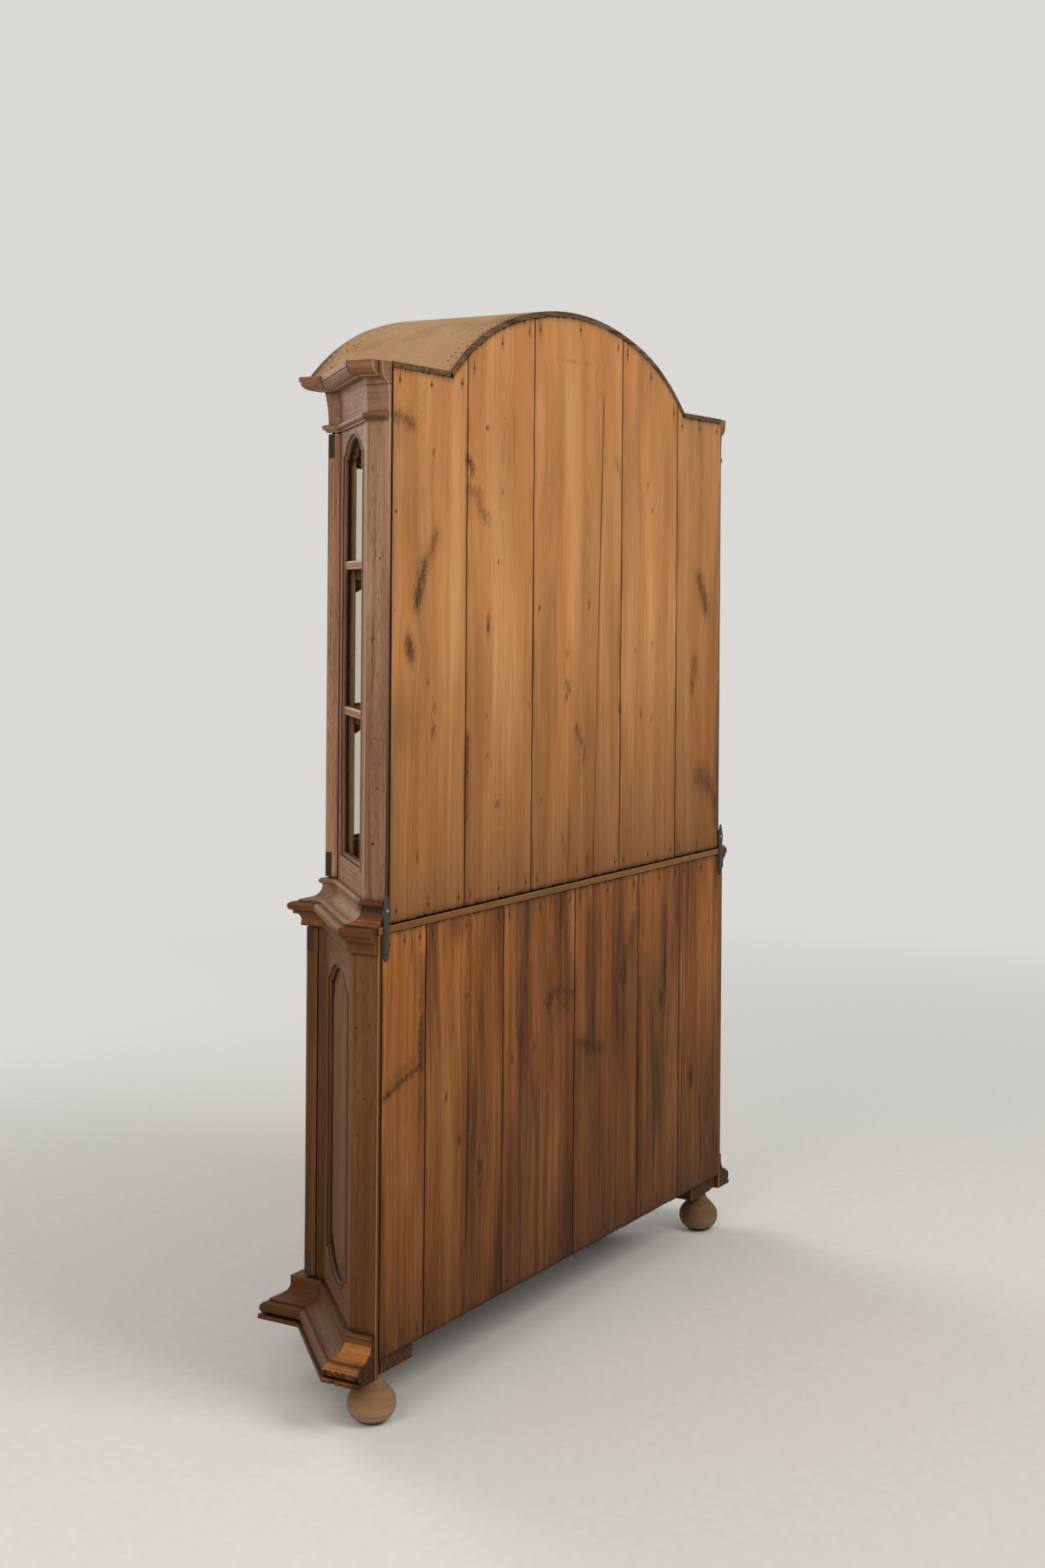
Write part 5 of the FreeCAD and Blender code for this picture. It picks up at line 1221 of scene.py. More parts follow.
turning, given, result = new_tree("turning", (("Sides", "Int"), ("Finish", "Material")))
line = add(turning, "GeometryNodeMeshToCurve", {0: given["Geometry"]})
radius = add(turning, "GeometryNodeInputNamedAttribute", {"Name": "radius"}, data_type="FLOAT")
line = add(turning, "GeometryNodeSetCurveRadius", {"Curve": line, "Radius": radius})
circle = add(turning, "GeometryNodeCurvePrimitiveCircle",
             {"Resolution": given["Sides"], "Radius": 1.0})
turned = turning.nodes.new("GeometryNodeCurveToMesh")
turning.links.new(line, turned.inputs["Curve"])
turning.links.new(circle, turned.inputs["Profile Curve"])
turned.inputs["Fill Caps"].default_value = True
if "Scale" in turned.inputs:
    turning.links.new(radius, turned.inputs["Scale"])
solid = add(turning, "GeometryNodeRealizeInstances", {0: turned.outputs[0]})
solid = add(turning, "GeometryNodeSetMaterial", {"Geometry": solid, "Material": given["Finish"]})
turning.links.new(solid, result.inputs[0])
print("turning tree with", len(turning.nodes), "nodes")

# %% Turn the four feet
FOOT_LEVELS = 64
FAR_FOOT_TONE_AND_SHADE = -0.35
TURNED_SHARE = 0.004
SCUFF = 0.5 * MM
FOOT_SHARP_DEGREES = 60
FOOT_IN_LOG = 3
BUMPS_PER_METRE = (25, 80)
SCUFFED_FROM = 0.5 * MM
SCUFFED_TO = 97 * MM

heights = np.linspace(0, FOOT_HEIGHTS_MM[-1], FOOT_LEVELS)
radii = np.interp(heights, FOOT_HEIGHTS_MM, FOOT_RADII_MM)
belly = max(FOOT_RADII_MM) * MM
for node in ("front_feet", "rear_feet"):
    low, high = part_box(node)
    centre_y = (low.y + high.y) / 2
    points, edges, widths = [], [], []
    for centre_x in (high.x - belly, low.x + belly):
        first = len(points)
        points += [(centre_x, centre_y, height * MM) for height in heights]
        edges += [(i, i + 1) for i in range(first, first + FOOT_LEVELS - 1)]
        widths += [radius * MM for radius in radii]
    foot = point_piece("turned_" + node, points, edges, {"radius": widths})
    run_tree(foot, turning, {"Sides": TURNED_SIDES, "Finish": beech})
    mesh = foot.data
    shape = bmesh.new()
    shape.from_mesh(mesh)
    bmesh.ops.recalc_face_normals(shape, faces=shape.faces)
    grain = shape.verts.layers.float_vector.new("grain")
    ring = shape.verts.layers.float.new("ring")
    tone = shape.verts.layers.float.new("tone")
    for vert in shape.verts:
        # The feet on the far side are darker: their own tone and painted shade.
        vert[tone] = FAR_FOOT_TONE_AND_SHADE if vert.co.x < 0 else 0.0
        axis = Vector((math.copysign(high.x - belly, vert.co.x), centre_y, 0))
        spoke = (vert.co - axis).normalized()
        vert[grain] = Vector((belly * spoke.x + FOOT_IN_LOG, vert.co.z, TURNED_SHARE * spoke.y))
        vert[ring] = (vert.co.x + 0.3 * vert.co.z) / (RING_MM * MM)
        broad, fine = [noise.noise(vert.co * size) for size in BUMPS_PER_METRE]
        dent = broad * 0.4 + fine * 0.25
        if SCUFFED_FROM < vert.co.z < SCUFFED_TO:
            vert.co -= Vector((vert.normal.x, vert.normal.y, 0)) * SCUFF * (0.5 + dent)
    shape.to_mesh(mesh)
    shape.free()
    smooth(mesh, FOOT_SHARP_DEGREES)
    attach(foot, node)
    print(node, len(mesh.vertices), "points", [round(v, 4) for v in foot.dimensions])

# %% [markdown]
# ## Nails and screws with Geometry Nodes
#
# Over two hundred heads are the same small thing in many places, which is what instances are
# for. A tree puts one flattened dome on each point, turns it to face outwards, varies its size
# by a fixed seed and makes the instances real, because the exported model keeps no instances.

# %% The nail tree
HEAD_SEGMENTS = 12
HEAD_RINGS = 6
nailing, given, result = new_tree(
    "nailing", (("Head Radius", "Float"), ("Head Height", "Float"), ("Wear", "Float"),
                ("Seed", "Int"), ("Finish", "Material")))
dome = add(nailing, "GeometryNodeMeshUVSphere",
           {"Segments": HEAD_SEGMENTS, "Rings": HEAD_RINGS, "Radius": 1.0})
facing = add(nailing, "GeometryNodeInputNamedAttribute", {"Name": "facing"},
             data_type="FLOAT_VECTOR")
turn = add(nailing, "FunctionNodeAlignRotationToVector", {"Vector": facing}, axis="Z")
least = add(nailing, SUM, {0: 1.0, 1: given["Wear"]}, operation="SUBTRACT")
most = add(nailing, SUM, {0: 1.0, 1: given["Wear"]}, operation="ADD")
size = nailing.nodes.new("FunctionNodeRandomValue")
size.data_type = "FLOAT"
for socket, value in ((2, least), (3, most)):
    nailing.links.new(value, size.inputs[socket])
nailing.links.new(given["Seed"], size.inputs["Seed"])
wide = add(nailing, SUM, {0: size.outputs[1], 1: given["Head Radius"]}, operation="MULTIPLY")
form = add(nailing, "ShaderNodeCombineXYZ", {0: wide, 1: wide, 2: given["Head Height"]})
heads = add(nailing, "GeometryNodeInstanceOnPoints",
            {"Points": given["Geometry"], "Instance": dome, "Rotation": turn, "Scale": form})
heads = add(nailing, "GeometryNodeRealizeInstances", {0: heads})
heads = add(nailing, "GeometryNodeSetMaterial", {"Geometry": heads, "Material": given["Finish"]})
nailing.links.new(heads, result.inputs[0])
print("nail tree with", len(nailing.nodes), "nodes")

# %% Where the nails are
IN_BOARDS = 2 * MM

back_nails, strap_screws = [], []
for solid in closed_solids("nails_and_screws"):
    place = Vector([sum(extent(solid, way)) / 2 for way in WAYS[:3]])
    in_boards = abs(place.y - BOARDS_REAR) < IN_BOARDS
    (back_nails if in_boards else strap_screws).append(place)
print(len(back_nails), "nails in the boards,", len(strap_screws), "screws in the straps")

# %% [markdown]
# ## The pine boards of the back
#
# The boards are what this view is about, so they get a mesh of their own: a fine grid with its
# places and its marks worked out for all points at once. Each knot pushes the yearly lines aside
# and stains the wood around it, each crack pulls a few columns of the grid into a groove, and
# dirt gathers at the edges. A picture of wood could not be lit, cut or moved from one board to
# the next. Marks are placed by the pixel at which the photograph shows them, through a line of
# sight from the camera to the back plane, and sized in real millimetres.

# %% From a pixel to a plane
FOCAL_PIXELS = LENS_MM / SENSOR_MM * PICTURE_HEIGHT
ACROSS, BACKWARDS = 0, 1


def in_sight(column, row, axis, level):
    """Where the line of sight through a pixel meets the plane at a level of one axis."""
    ray = Vector((column - PICTURE_WIDTH / 2, HORIZON_ROW - row, -FOCAL_PIXELS))
    ray = camera_turn.to_3x3() @ ray
    return CAMERA_PLACE + ray * ((level - CAMERA_PLACE[axis]) / ray[axis])


def on_back(column, row):
    """The place (x, z) on the boards' rear face behind a pixel of the photograph."""
    spot = in_sight(column, row, BACKWARDS, BOARDS_REAR)
    return np.array((spot.x, spot.z))


print("the near board's knot is at", on_back(465, 485).round(3))

# %% Knots and stains: column, row, half width mm, half height mm, lean, knot, stain
MARKS = {
    "swirl by the cornice": (459, 505, 20, 30, 0.0, 0.0, 0.35),
    "small knot": (498.7, 518.6, 5, 11, 0.0, 0.9, 0.3),
    "knot below the smear": (470.8, 744.4, 15, 26, 0.35, 1.0, 1.0),
    "speck": (491, 782.6, 6, 9, 0.0, 0.8, 0.3),
    "upper of a pair": (499, 812, 6, 16, 0.0, 0.6, 0.4),
    "lower of a pair": (497.7, 838, 9, 22, 0.0, 0.8, 0.5),
    "eye near the foot": (480, 984.7, 7, 12, 0.0, 0.8, 0.4),
    "grey patch": (463, 832, 34, 62, 0.0, 0.0, 0.6),
    "hole by the post": (455, 587, 3, 6, 0.0, 1.0, 0.2),
    "second hole": (454, 700, 3, 6, 0.0, 1.0, 0.2),
    "round knot": (560, 490.7, 7, 8, 0.0, 0.9, 0.4),
    "little knot": (580, 480, 4, 5, 0.0, 0.7, 0.2),
    "short dash": (578, 567, 4, 10, 0.0, 0.9, 0.3),
    "second dash": (573, 644.7, 4, 8, 0.0, 0.7, 0.2),
    "streaked knot": (561, 718, 7, 26, 0.0, 0.9, 0.5),
    "pin knot": (559, 822.4, 5, 5, 0.0, 0.8, 0.2),
    "second pin knot": (559, 867.7, 6, 7, 0.0, 0.9, 0.3),
    "oval knot": (571, 922, 9, 15, 0.0, 0.8, 0.5),
    "knot by the second joint": (608, 808.7, 8, 10, 0.0, 0.6, 0.3),
    "scratched patch": (658, 415, 60, 4, -0.2, 0.0, 0.45),
    "diagonal smear": (709, 534, 12, 22, 0.5, 0.3, 0.5),
    "fleck": (632, 556, 4, 8, 0.0, 0.8, 0.2),
    "second fleck": (677, 695, 6, 10, 0.2, 0.9, 0.3),
    "third fleck": (620, 697, 5, 9, 0.0, 0.9, 0.3),
    "ringed knot": (652, 751, 9, 12, 0.0, 0.6, 0.4),
    "fourth fleck": (661.5, 837.7, 8, 12, 0.0, 0.7, 0.3),
    "fifth fleck": (622, 919.5, 6, 10, 0.2, 0.9, 0.3),
    "drip": (654, 962, 7, 60, 0.0, 0.0, 0.8),
    "soot at the foot": (675, 990, 14, 24, 0.0, 0.3, 0.9),
    "edge knot": (712, 813, 9, 16, 0.3, 0.8, 0.5),
    "pale board fleck": (730, 746, 6, 10, 0.0, 0.6, 0.3),
    "second pale board fleck": (749.7, 739.8, 6, 12, 0.0, 0.6, 0.3),
    "third pale board fleck": (736, 819, 8, 14, 0.2, 0.6, 0.4),
    "fourth pale board fleck": (748, 825.5, 6, 14, 0.0, 0.6, 0.4),
    "fifth pale board fleck": (744, 557.4, 9, 12, 0.0, 0.6, 0.3),
    "sixth pale board fleck": (749.7, 586.5, 7, 9, 0.0, 0.8, 0.3),
    "far knot": (795, 784, 8, 14, 0.0, 0.9, 0.5),
    "far knot's foot": (795, 793, 7, 14, 0.0, 0.6, 0.6),
    "far black spot": (820.7, 920, 14, 22, 0.0, 0.9, 0.9),
    "far edge soot": (824, 900, 20, 140, 0.0, 0.0, 0.9),
    "worm marks": (437.5, 1170, 5, 30, 0.0, 0.7, 0.6),
    "smoke at the top": (525, 1064, 30, 26, 0.0, 0.0, 0.7),
    "haloed knot": (551, 1339, 14, 24, 0.0, 0.8, 0.6),
    "dot under it": (550.7, 1360, 6, 9, 0.0, 1.0, 0.3),
    "low fleck": (512.5, 1259, 6, 12, 0.0, 0.8, 0.4),
    "second low fleck": (528, 1309, 8, 12, 0.4, 0.8, 0.4),
    "third low fleck": (614, 1202, 6, 14, 0.0, 0.8, 0.4),
    "fourth low fleck": (588, 1216, 6, 14, 0.0, 0.7, 0.4),
    "flame's knot": (713, 1121, 12, 10, 0.6, 0.8, 0.4),
    "cracked knot": (763.4, 1110, 6, 50, 0.0, 0.8, 0.7),
    "knot under the crack": (759, 1146, 12, 20, 0.0, 0.7, 0.7),
    "last knot": (793, 1236, 15, 30, 0.1, 0.75, 0.8),
    "last drip": (805, 1315, 9, 44, 0.0, 0.4, 0.8),
    "last fleck": (765.6, 1306, 6, 12, 0.0, 0.8, 0.4),
}
print(len(MARKS), "knots and stains")

# %% Lines of knot and smoke: pixels, half width mm, knot, stain, swirl
LINES = {
    "curved knot by the cornice": (((447, 477), (458, 476), (466, 481), (474, 488)),
                                   9, 0.45, 0.75, 1.0),
    "its dark rim": (((448, 484), (456, 484), (461, 487)), 3, 0.7, 0.4, 0.0),
    "long smear": (((501, 615), (491, 641), (484, 668), (479, 696)), 9, 0.25, 0.8, 0.6),
    "dark half of the smear": (((488, 648), (484, 668), (480, 690)), 10, 0.85, 1.0, 0.0),
    "smoke at the first joint": (((537, 845), (536, 890), (536, 940)), 5, 0.3, 0.9, 0.0),
    "knot at the joint": (((538, 527), (542, 535), (543, 542)), 7, 0.95, 0.8, 1.0),
    "its tail": (((540, 562), (550, 568), (552, 585), (560, 596)), 8, 0.2, 0.75, 0.4),
    "split under the small knot": (((499, 520), (496, 560), (498, 640)), 2, 0.15, 0.4, 0.2),
    "broken knot": (((651, 783), (654, 792), (650, 802)), 5, 0.6, 0.6, 0.8),
    "leaning knot": (((662, 835), (672, 862), (669, 876)), 6, 0.5, 0.5, 0.9),
    "soot over the last joint": (((646, 960), (653, 1000)), 5, 0.2, 0.6, 0.0),
    "scorch": (((803, 664), (807, 680), (811, 700)), 12, 0.5, 1.0, 0.7),
    "far shadow": (((798, 757), (797, 774)), 9, 0.15, 0.85, 0.3),
    "far stain": (((802, 892), (812, 898), (822, 915), (822, 940)), 17, 0.2, 1.0, 0.2),
    "far top stain": (((801, 886), (810, 885)), 14, 0.0, 0.6, 0.0),
    "slanting knot": (((436, 1266), (448, 1255), (460, 1243), (470, 1234), (483, 1224)),
                      5, 0.75, 0.7, 0.8),
    "its upper rim": (((437, 1259), (452, 1240), (478, 1214)), 6, 0.0, 0.5, 0.3),
    "slanting knot's foot": (((437, 1268), (436, 1278)), 6, 0.8, 0.8, 0.0),
    "edge rot": (((485, 1165), (483, 1195), (484, 1226)), 5, 0.5, 0.9, 0.0),
    "edge rot's head": (((484, 1100), (485, 1150)), 9, 0.0, 0.7, 0.0),
    "twig": (((541, 1134), (538, 1142), (535, 1147)), 3, 0.5, 0.5, 0.4),
    "ridge's shadow": (((542, 1060), (541, 1200), (538, 1320), (536, 1400)), 3, 0.1, 0.65, 0.0),
    "smoky half board": (((556, 1090), (556, 1220), (552, 1380)), 22, 0.0, 0.4, 0.0),
    "hooked knot": (((529, 1313), (530, 1304), (538, 1296)), 3, 0.8, 0.5, 0.6),
    "great knot's arch": (((631, 1150), (636, 1140), (646, 1137), (657, 1140)), 9, 0.35, 0.95, 0.5),
    "great knot's specks": (((645, 1150), (652, 1158), (656, 1164)), 4, 0.55, 0.4, 0.9),
    "smoky band": (((649, 1035), (648, 1090), (650, 1150)), 26, 0.0, 0.75, 0.0),
    "smoke below": (((652, 1190), (655, 1290), (650, 1400)), 20, 0.0, 0.5, 0.0),
    "long drip": (((612, 1185), (611, 1235), (618, 1300), (617, 1330)), 4, 0.25, 0.5, 0.3),
    "flame": (((728, 1060), (720, 1095), (714, 1122)), 12, 0.0, 0.7, 0.5),
    "wide smear": (((664, 1196), (680, 1201), (692, 1203)), 8, 0.4, 0.85, 0.6),
    "fifth board's smoke": (((745, 1100), (750, 1250), (742, 1350)), 16, 0.0, 0.45, 0.0),
}
print(len(LINES), "lines")

# %% Cracks: the pixels of the upper and lower end, depth in mm
CRACKS = {
    "upper_back_board_third": ((694, 470), (681, 1003), 2.2),
    "lower_back_board_second": ((541, 1050), (535, 1420), 1.6),
    "lower_back_board_fifth": ((763.6, 1086), (763.2, 1130), 2.0),
    "lower_back_board_sixth": ((786, 1030), (780, 1380), 0.7),
}
for node, (top, foot, deep) in CRACKS.items():
    print(node, "is cracked over", round(on_back(*top)[1] - on_back(*foot)[1], 3), "m")

# %% A board's grid
CRACK_PULL = 40 * MM
CRACK_WIDTH = 1.1 * MM
CRACK_SOOT = 3.5 * MM
CRACK_ENDS = 50 * MM
COLUMN = 3.2 * MM
ROW = 4.5 * MM
EDGE_ROOM = 4 * MM
RAGGED = 1.5 * MM
# How far a board's face falls away, in mm, at some distances in mm from its edge.
EASE = ((0.0, 1.5), (0.6, 0.5), (2.0, 0.05))
# Where the columns of the grid stand beside a crack, in mm.
GROOVE = (-2.6, -1.0, 0.0, 1.0, 2.6)


def ripples(across, along, chance, reach_across, reach_along, count=7):
    """A smooth random surface between about -1 and 1, made of sine waves."""
    total = np.zeros_like(across + along)
    for _ in range(count):
        waves = chance.uniform(0.3, 1.7, 2) * chance.choice((-1, 1), 2) * 2 * math.pi
        total += np.sin(across / reach_across * waves[0] + along / reach_along * waves[1]
                        + chance.uniform(0, 2 * math.pi))
    return total / math.sqrt(count)


def surface_of(node):
    """A node's CAD surface, for finding where a ray meets it."""
    mesh = frame["nodes"][node].data
    return BVHTree.FromPolygons([v.co for v in mesh.vertices], [p.vertices for p in mesh.polygons])


def column_places(low, high, crack):
    """The columns of a board's grid, closer at its edges and at its crack."""
    inner = np.arange(low + EDGE_ROOM, high - EDGE_ROOM, COLUMN)
    if crack is not None:
        inner = inner[np.abs(inner - crack) > EDGE_ROOM]
        inner = np.append(inner, [crack + step * MM for step in GROOVE])
    edge = [step * MM for step, _ in EASE]
    return np.sort(np.concatenate([inner, [low + e for e in edge], [high - e for e in edge]]))


def top_of(node, columns):
    """The height of a board's CAD solid at each column."""
    surface = surface_of(node)
    low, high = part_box(node)
    middle = (low.y + high.y) / 2
    tops = []
    for place in columns:
        inside = clamp(place, low.x + 0.3 * MM, high.x - 0.3 * MM)
        tops.append(surface.ray_cast(Vector((inside, middle, high.z + 1)), -UP)[0].z)
    return np.array(tops)


def board_grid(node, chance):
    """A board's grid: places across and up, the depth of its face and the dirt in its crack."""
    low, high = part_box(node)
    crack = CRACKS.get(node)
    if crack:
        (x_top, z_top), (x_low, z_low) = on_back(*crack[0]), on_back(*crack[1])
        lean = (x_top - x_low) / (z_top - z_low)
        centre = (x_top + x_low) / 2
    columns = column_places(low.x, high.x, centre if crack else None)
    tops = top_of(node, columns)
    rows = np.linspace(0, 1, int((high.z - low.z) / ROW))[:, None]
    ragged = RAGGED * np.abs(ripples(columns, 0 * columns, chance, 0.05, 1.0))
    z = low.z + ragged[None, :] * (1 - rows) + rows * (tops - low.z - ragged)[None, :]
    x = np.repeat(columns[None, :], len(rows), 0)
    depth, dirt_and_shade = np.zeros_like(x), np.zeros_like(x)
    if crack:
        near = np.clip(1 - np.abs(x - centre) / CRACK_PULL, 0, 1)
        inside = np.clip(np.minimum(x - low.x, high.x - x) / CRACK_PULL, 0, 1)
        x = x + lean * (z - (z_top + z_low) / 2) * near * inside
        open_part = np.clip(1 - np.maximum(z - z_top, z_low - z) / CRACK_ENDS, 0, 1)
        off = np.abs(columns - centre)[None, :]
        heart = np.exp(-(off / CRACK_WIDTH) ** 2) * open_part
        depth += heart * crack[2] * MM
        dirt_and_shade = np.maximum(heart, 0.4 * np.exp(-off / CRACK_SOOT) * open_part)
    side = np.minimum(x - low.x, high.x - x)
    depth += np.interp(side, [e[0] * MM for e in EASE] + [1], [e[1] * MM for e in EASE] + [0])
    for deep, reach_across, reach_along in ((0.25, 0.11, 0.7), (0.12, 0.02, 0.25)):
        depth += deep * MM * (1 + ripples(x, z, chance, reach_across, reach_along) * 0.6)
    return x, z, depth, dirt_and_shade


print("a board has a point every", round(COLUMN / MM, 1), "by", round(ROW / MM, 1), "mm")

# %% Lay knots, stains and lines on a grid
LINE_GAIN = 1.5
MARK_ROOM = 10 * MM
LINE_ROOM = 30 * MM
DENT = 0.4 * MM
NAIL_STAIN = 3.4 * MM
BEND = 0.75
BEND_REACH = 2.6


def off_line(x, z, spots):
    """The distance from each grid point to a line of spots on the back."""
    nearest = np.full_like(x, 9.0)
    for (ax, az), (bx, bz) in zip(spots, spots[1:]):
        long = (bx - ax) ** 2 + (bz - az) ** 2
        share = np.clip(((x - ax) * (bx - ax) + (z - az) * (bz - az)) / long, 0, 1)
        off_x, off_z = x - ax - share * (bx - ax), z - az - share * (bz - az)
        nearest = np.minimum(nearest, np.hypot(off_x, off_z))
    return nearest


def lay_marks(x, z, low, high, chance):
    """The knots, stains, bent grain, swirls and dents of a board's grid."""
    knot, stain, swirl, dents = (np.zeros_like(x) for _ in range(4))
    bent = np.array(x)
    # Knots are lumpy: noise shifts their places and swells their widths.
    lump_x = 2.6 * MM * ripples(x, z, chance, 0.012, 0.03)
    lump_z = 4.0 * MM * ripples(x, z, chance, 0.015, 0.03)
    lump_w = 1 + 0.55 * ripples(x, z, chance, 0.009, 0.022)
    for column, row, wide, tall, tilt, dark, soft in MARKS.values():
        spot_x, spot_z = on_back(column, row)
        if not low.x - MARK_ROOM < spot_x < high.x + MARK_ROOM or not low.z < spot_z < high.z:
            continue
        off_z = z - spot_z + lump_z * min(1, tall / 12)
        off_x = x - spot_x + lump_x * min(1, wide / 9) - tilt * off_z * min(1, wide / tall)
        shape = (off_x / (wide * MM)) ** 2 + (off_z / (tall * MM)) ** 2
        knot = np.maximum(knot, dark * np.exp(-shape * 1.2) * np.clip(lump_w, 0.4, 1.1))
        stain = np.maximum(stain, soft * np.exp(-shape * 0.55) * 0.8)
        around = np.exp(-shape / BEND_REACH ** 2)
        bent -= off_x * around * BEND * max(dark, 0.2)
        swirl += around * 3.0 * dark
        dents += DENT * dark * np.exp(-shape)
    for pixels, wide, dark, soft, turn in LINES.values():
        spots = [on_back(*pixel) for pixel in pixels]
        if not any(low.z < spot[1] < high.z and low.x - LINE_ROOM < spot[0] < high.x + LINE_ROOM
                   for spot in spots):
            continue
        away = off_line(x + lump_x * min(1, wide / 5), z + lump_z, spots) / (wide * LINE_GAIN * MM)
        away = away * np.clip(lump_w, 0.6, 1.6)
        knot = np.maximum(knot, dark * np.exp(-away ** 2 * 1.4) * np.clip(lump_w, 0.2, 1.1))
        smoke = 0.85 * soft * np.exp(-away ** 2 * 0.5)
        stain = np.maximum(stain, smoke * np.clip(lump_w, 0.5, 1.1))
        swirl += 2.5 * turn * np.exp(-away ** 2 * 0.25)
        dents += DENT * dark * np.exp(-away ** 2)
    for place in back_nails:
        if low.x < place.x < high.x and low.z < place.z < high.z:
            tall = chance.uniform(10, 22) * MM
            off_x, off_z = (x - place.x) / NAIL_STAIN, (z - place.z - 2 * MM) / tall
            stain = np.maximum(stain, 1.1 * np.exp(-off_x ** 2 - off_z ** 2))
    return knot, stain, bent, swirl, dents


print("a dark knot is dented by", DENT / MM, "mm")

# %% Close a board's mesh
# The boards' joints are 2 mm wide. Their inner edges lap, so that no light shows through.
LAP = 1.05 * MM


def board_mesh(name, x, y, z, inner_y):
    """The closed mesh of a board: a grid outside, strips inside, and its four sides."""
    rows, columns = x.shape
    grid = np.stack([x, y, z], -1).reshape(-1, 3)
    lap = np.zeros(columns)
    lap[0], lap[-1] = -LAP, LAP
    inner_low = np.stack([x[0] + lap, np.full(columns, inner_y), z[0]], -1)
    inner_high = np.stack([x[-1] + lap, np.full(columns, inner_y), z[-1]], -1)
    index = np.arange(rows * columns).reshape(rows, columns)
    first, last = rows * columns, rows * columns + columns
    a, b = index[:-1, :-1].ravel(), index[:-1, 1:].ravel()
    c, d = index[1:, 1:].ravel(), index[1:, :-1].ravel()
    faces = np.stack([b, a, d, c], -1).tolist()
    for i in range(columns - 1):
        faces.append([first + i, first + i + 1, last + i + 1, last + i])
        faces.append([index[0, i], index[0, i + 1], first + i + 1, first + i])
        faces.append([index[-1, i + 1], index[-1, i], last + i, last + i + 1])
    faces.append([first, last] + index[::-1, 0].tolist())
    faces.append([last + columns - 1, first + columns - 1] + index[:, -1].tolist())
    mesh = bpy.data.meshes.new(name)
    mesh.from_pydata(np.concatenate([grid, inner_low, inner_high]).tolist(), [], faces)
    return mesh


print("the boards' inner edges lap by", round(LAP / MM, 2), "mm")

# %% Make the eleven boards
TONES = {"upper_back_board_fifth": -0.09, "lower_back_board_first": 0.2,
         "lower_back_board_third": -0.05, "lower_back_board_fourth": -0.12,
         "lower_back_board_fifth": -0.06, "lower_back_board_sixth": -0.08}
JOINT_DIRT = 7.0 * MM
EDGE_DIRT = 0.8 * MM
END_DIRT = 5 * MM
FOOT_STAIN = 100 * MM
BOARD_SHARP_DEGREES = 60
FIRST_SEED = 40


def back_board(node, finish, seed):
    """One board as a fine grid with its marks, closed towards the inside."""
    chance = np.random.default_rng(seed)
    low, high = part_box(node)
    x, z, depth, dirt_and_shade = board_grid(node, chance)
    side, foot, head = np.minimum(x - low.x, high.x - x), z - z[:1], z[-1:] - z
    knot, stain, bent, swirl, dents = lay_marks(x, z, low, high, chance)
    # The rings are circles round a pith that lies under the face and wanders along the board.
    bent += 4 * MM * ripples(x * 0, z, chance, 1.0, 0.9)
    pith = low.x + chance.uniform(0.2, 0.8) * (high.x - low.x)
    under = 30 * MM + 14 * MM * ripples(x * 0, z, chance, 1.0, 1.6)
    ring = np.hypot(bent - pith, under) / (chance.uniform(2.4, 3.8) * MM) + swirl
    dusty = np.clip(0.5 + 0.7 * ripples(x * 0 + low.x, z, chance, 1.0, 0.22), 0, 1.3)
    dirt_and_shade = np.maximum.reduce([
        dirt_and_shade, 1.1 * np.exp(-(side / EDGE_DIRT) ** 2), 0.34 * dusty * np.exp(-side / JOINT_DIRT),
        0.8 * np.exp(-foot / END_DIRT), 0.6 * np.exp(-head / END_DIRT)])
    stain = np.maximum(stain, 0.35 * np.exp(-foot / FOOT_STAIN))
    tone = TONES.get(node, 0.0) + 0.05 * ripples(x, z, chance, 0.25, 1.2)
    shift = chance.uniform(-LOG_SIZE, LOG_SIZE, 3)
    grain = np.stack([z + shift[0], bent + shift[1], np.full_like(x, shift[2])], -1)
    mesh = board_mesh("worn_" + node, x, high.y - depth - dents, z, low.y)
    for mark, values in (("knot", knot), ("stain", stain), ("dirt_and_shade", dirt_and_shade), ("ring", ring),
                         ("tone", tone)):
        full = np.append(values.ravel(), np.append(values[0], values[-1]))
        mesh.attributes.new(mark, "FLOAT", "POINT").data.foreach_set("value", full)
    full = np.concatenate([grain.reshape(-1, 3), grain[0], grain[-1]]).ravel()
    mesh.attributes.new("grain", "FLOAT_VECTOR", "POINT").data.foreach_set("vector", full)
    mesh.materials.append(finish)
    smooth(mesh, BOARD_SHARP_DEGREES)
    piece = put(mesh.name, mesh)
    attach(piece, node)
    return piece


boards = []
for seed, node in enumerate(sorted(n for n in frame["nodes"] if n.startswith(BOARD_NAMES))):
    pine = upper_pine if node.startswith("upper") else lower_pine
    boards.append(back_board(node, pine, seed + FIRST_SEED))
print(len(boards), "boards with", sum(len(board.data.polygons) for board in boards), "faces")

# %% Tacks on the roof
TACK_SIZE = (2.6 * MM, 0.5 * MM)
TACK_PITCH = 33 * MM
TACK_ROWS_MM = (11.0, 27.0)
SEAM_ROW_MM = 318.0
SEAM_SPREAD = 1.6
TACK_SEED = 77
TACK_SUNK = 0.6
FIRST_TACK = 6 * MM


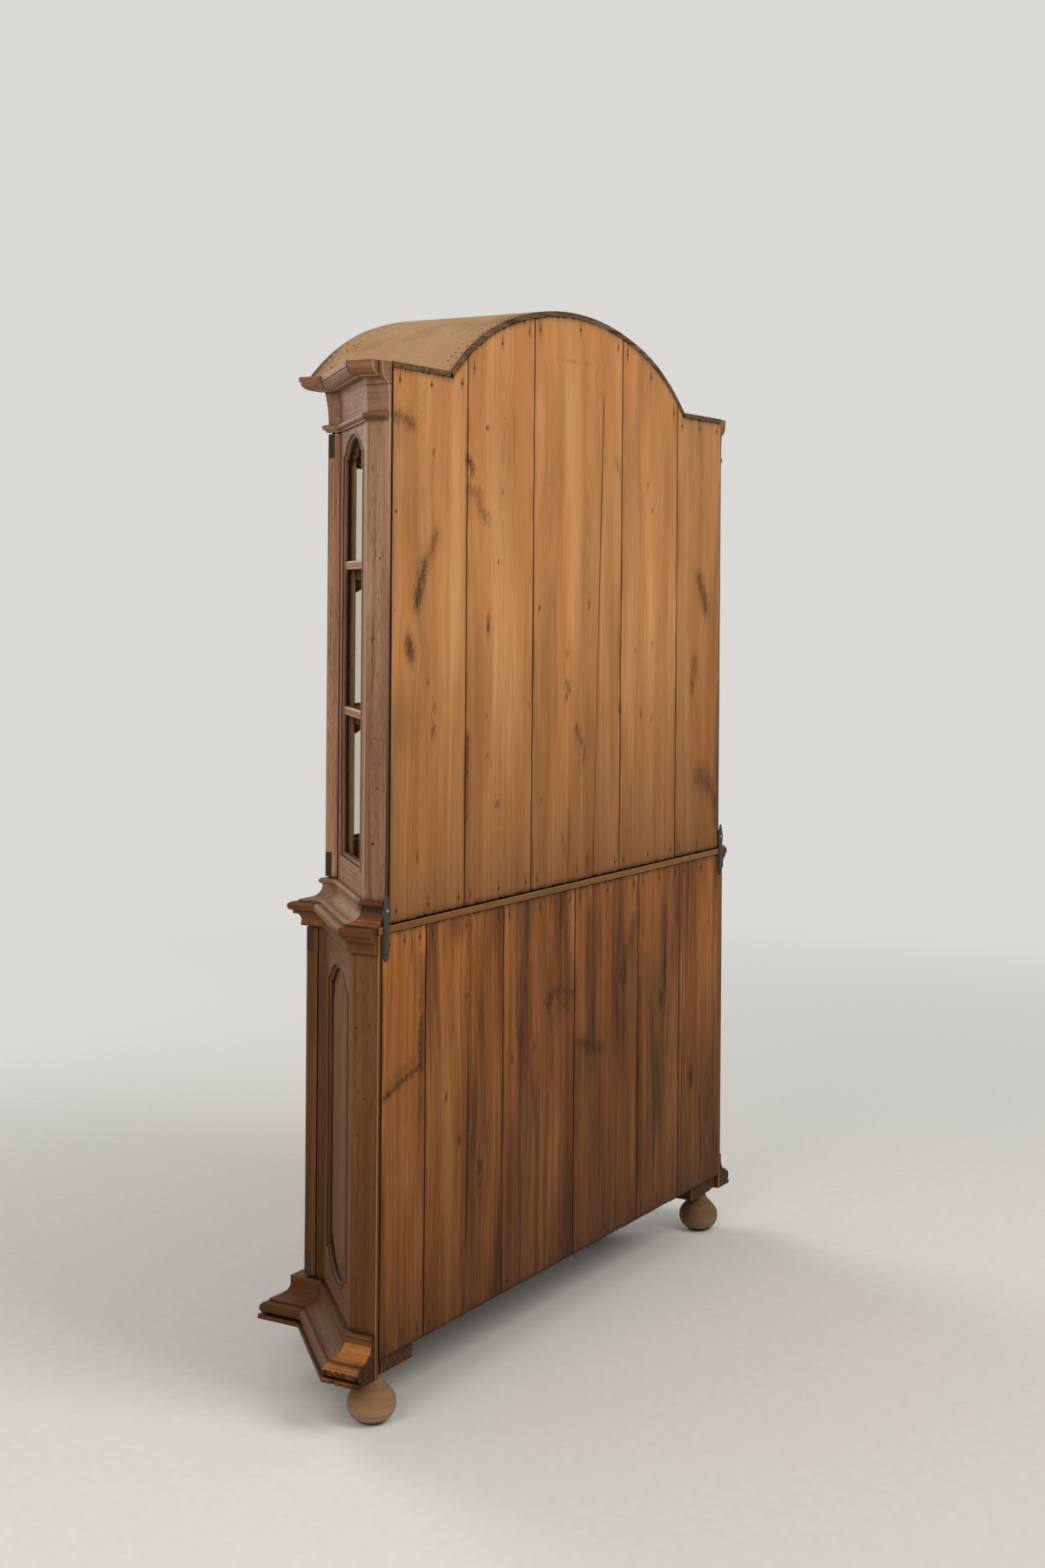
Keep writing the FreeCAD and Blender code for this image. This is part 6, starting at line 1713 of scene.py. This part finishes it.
def tacks_on_roof():
    """Places and facings of the tacks along the roof's rear edge and its seam."""
    roof = surface_of("roof_sheet")
    low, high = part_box("roof_sheet")
    chance = random.Random(TACK_SEED)
    places, facings = [], []
    for setback in TACK_ROWS_MM + (SEAM_ROW_MM,):
        pitch = TACK_PITCH * (SEAM_SPREAD if setback == SEAM_ROW_MM else 1.0)
        travelled, last = 0.0, None
        for step in range(int((high.x - low.x) / MM)):
            x = low.x + FIRST_TACK + step * MM
            y = high.y - (setback + chance.uniform(-2, 2)) * MM
            hit, normal = roof.ray_cast(Vector((x, y, high.z + 1)), -UP)[:2]
            if hit is None:
                continue
            travelled += (hit - last).length if last else TACK_PITCH
            last = hit
            if travelled >= pitch:
                travelled = chance.uniform(-0.25, 0.25) * TACK_PITCH
                places.append(hit - normal * TACK_SIZE[1] * TACK_SUNK)
                facings.append(normal)
    return places, facings


tack_places, tack_facings = tacks_on_roof()
print(len(tack_places), "tacks")

# %% Nail holes in the near side
HOLE_SIZE = (2.2 * MM, 0.3 * MM)
# Pixels of the holes in the rear posts, and in the roll of the waist between them.
POST_HOLES = ((430, 733), (430, 847), (428, 969), (436, 641), (433, 905), (409, 1180), (424, 1177),
              (410, 1303), (418, 1262))
ROLL_HOLES = ((418.6, 1037.8), (434.2, 1039))
WAIST_ROW = 1050
ROLL_FACE = 753.5 * MM
LOWER_SIDE_FACE = 769 * MM


def in_side(column, row):
    """The place of a nail hole in the near side of the cupboard."""
    face = LOWER_SIDE_FACE if row > WAIST_ROW else SIDE_FACE
    return in_sight(column, row, ACROSS, ROLL_FACE if (column, row) in ROLL_HOLES else face)


hole_places = [in_side(*pixel) for pixel in POST_HOLES + ROLL_HOLES]
print(len(hole_places), "holes, the first at", [round(part, 3) for part in hole_places[0]])

# %% Drive the nails
NAIL_SIZE = (3.0 * MM, 0.9 * MM)
WAIST = 950 * MM


def drive(name, places, facings, size, wear, seed, finish):
    """Domed heads at places that ride on the case. They face one way, or each its own."""
    if isinstance(facings, Vector):
        facings = [facings] * len(places)
    piece = point_piece(name, places, marks={"facing": [tuple(facing) for facing in facings]})
    run_tree(piece, nailing, {"Head Radius": size[0], "Head Height": size[1], "Wear": wear,
                              "Seed": seed, "Finish": finish})
    hold_inside(piece.data.vertices, cad_box)
    attach(piece, "nails_and_screws", replaces=name == "board_nails")
    print(name, len(places), "heads")


nail_places = [(place.x, BOARDS_REAR + HAIR, place.z) for place in back_nails]
bright_places = [place for place in strap_screws if place.z > WAIST]
brown_places = [place for place in strap_screws if place.z <= WAIST]
drive("board_nails", nail_places, WAYS[1], NAIL_SIZE, 0.2, 5, brown_iron)
drive("roof_tacks", tack_places, tack_facings, TACK_SIZE, 0.3, 6, brown_iron)
drive("post_nails", hole_places, WAYS[0], HOLE_SIZE, 0.35, 8, brown_iron)
drive("bright_screws", bright_places, WAYS[1], NAIL_SIZE, 0.05, 7, bright_steel)
drive("brown_screws", brown_places, WAYS[1], NAIL_SIZE, 0.05, 7, brown_iron)
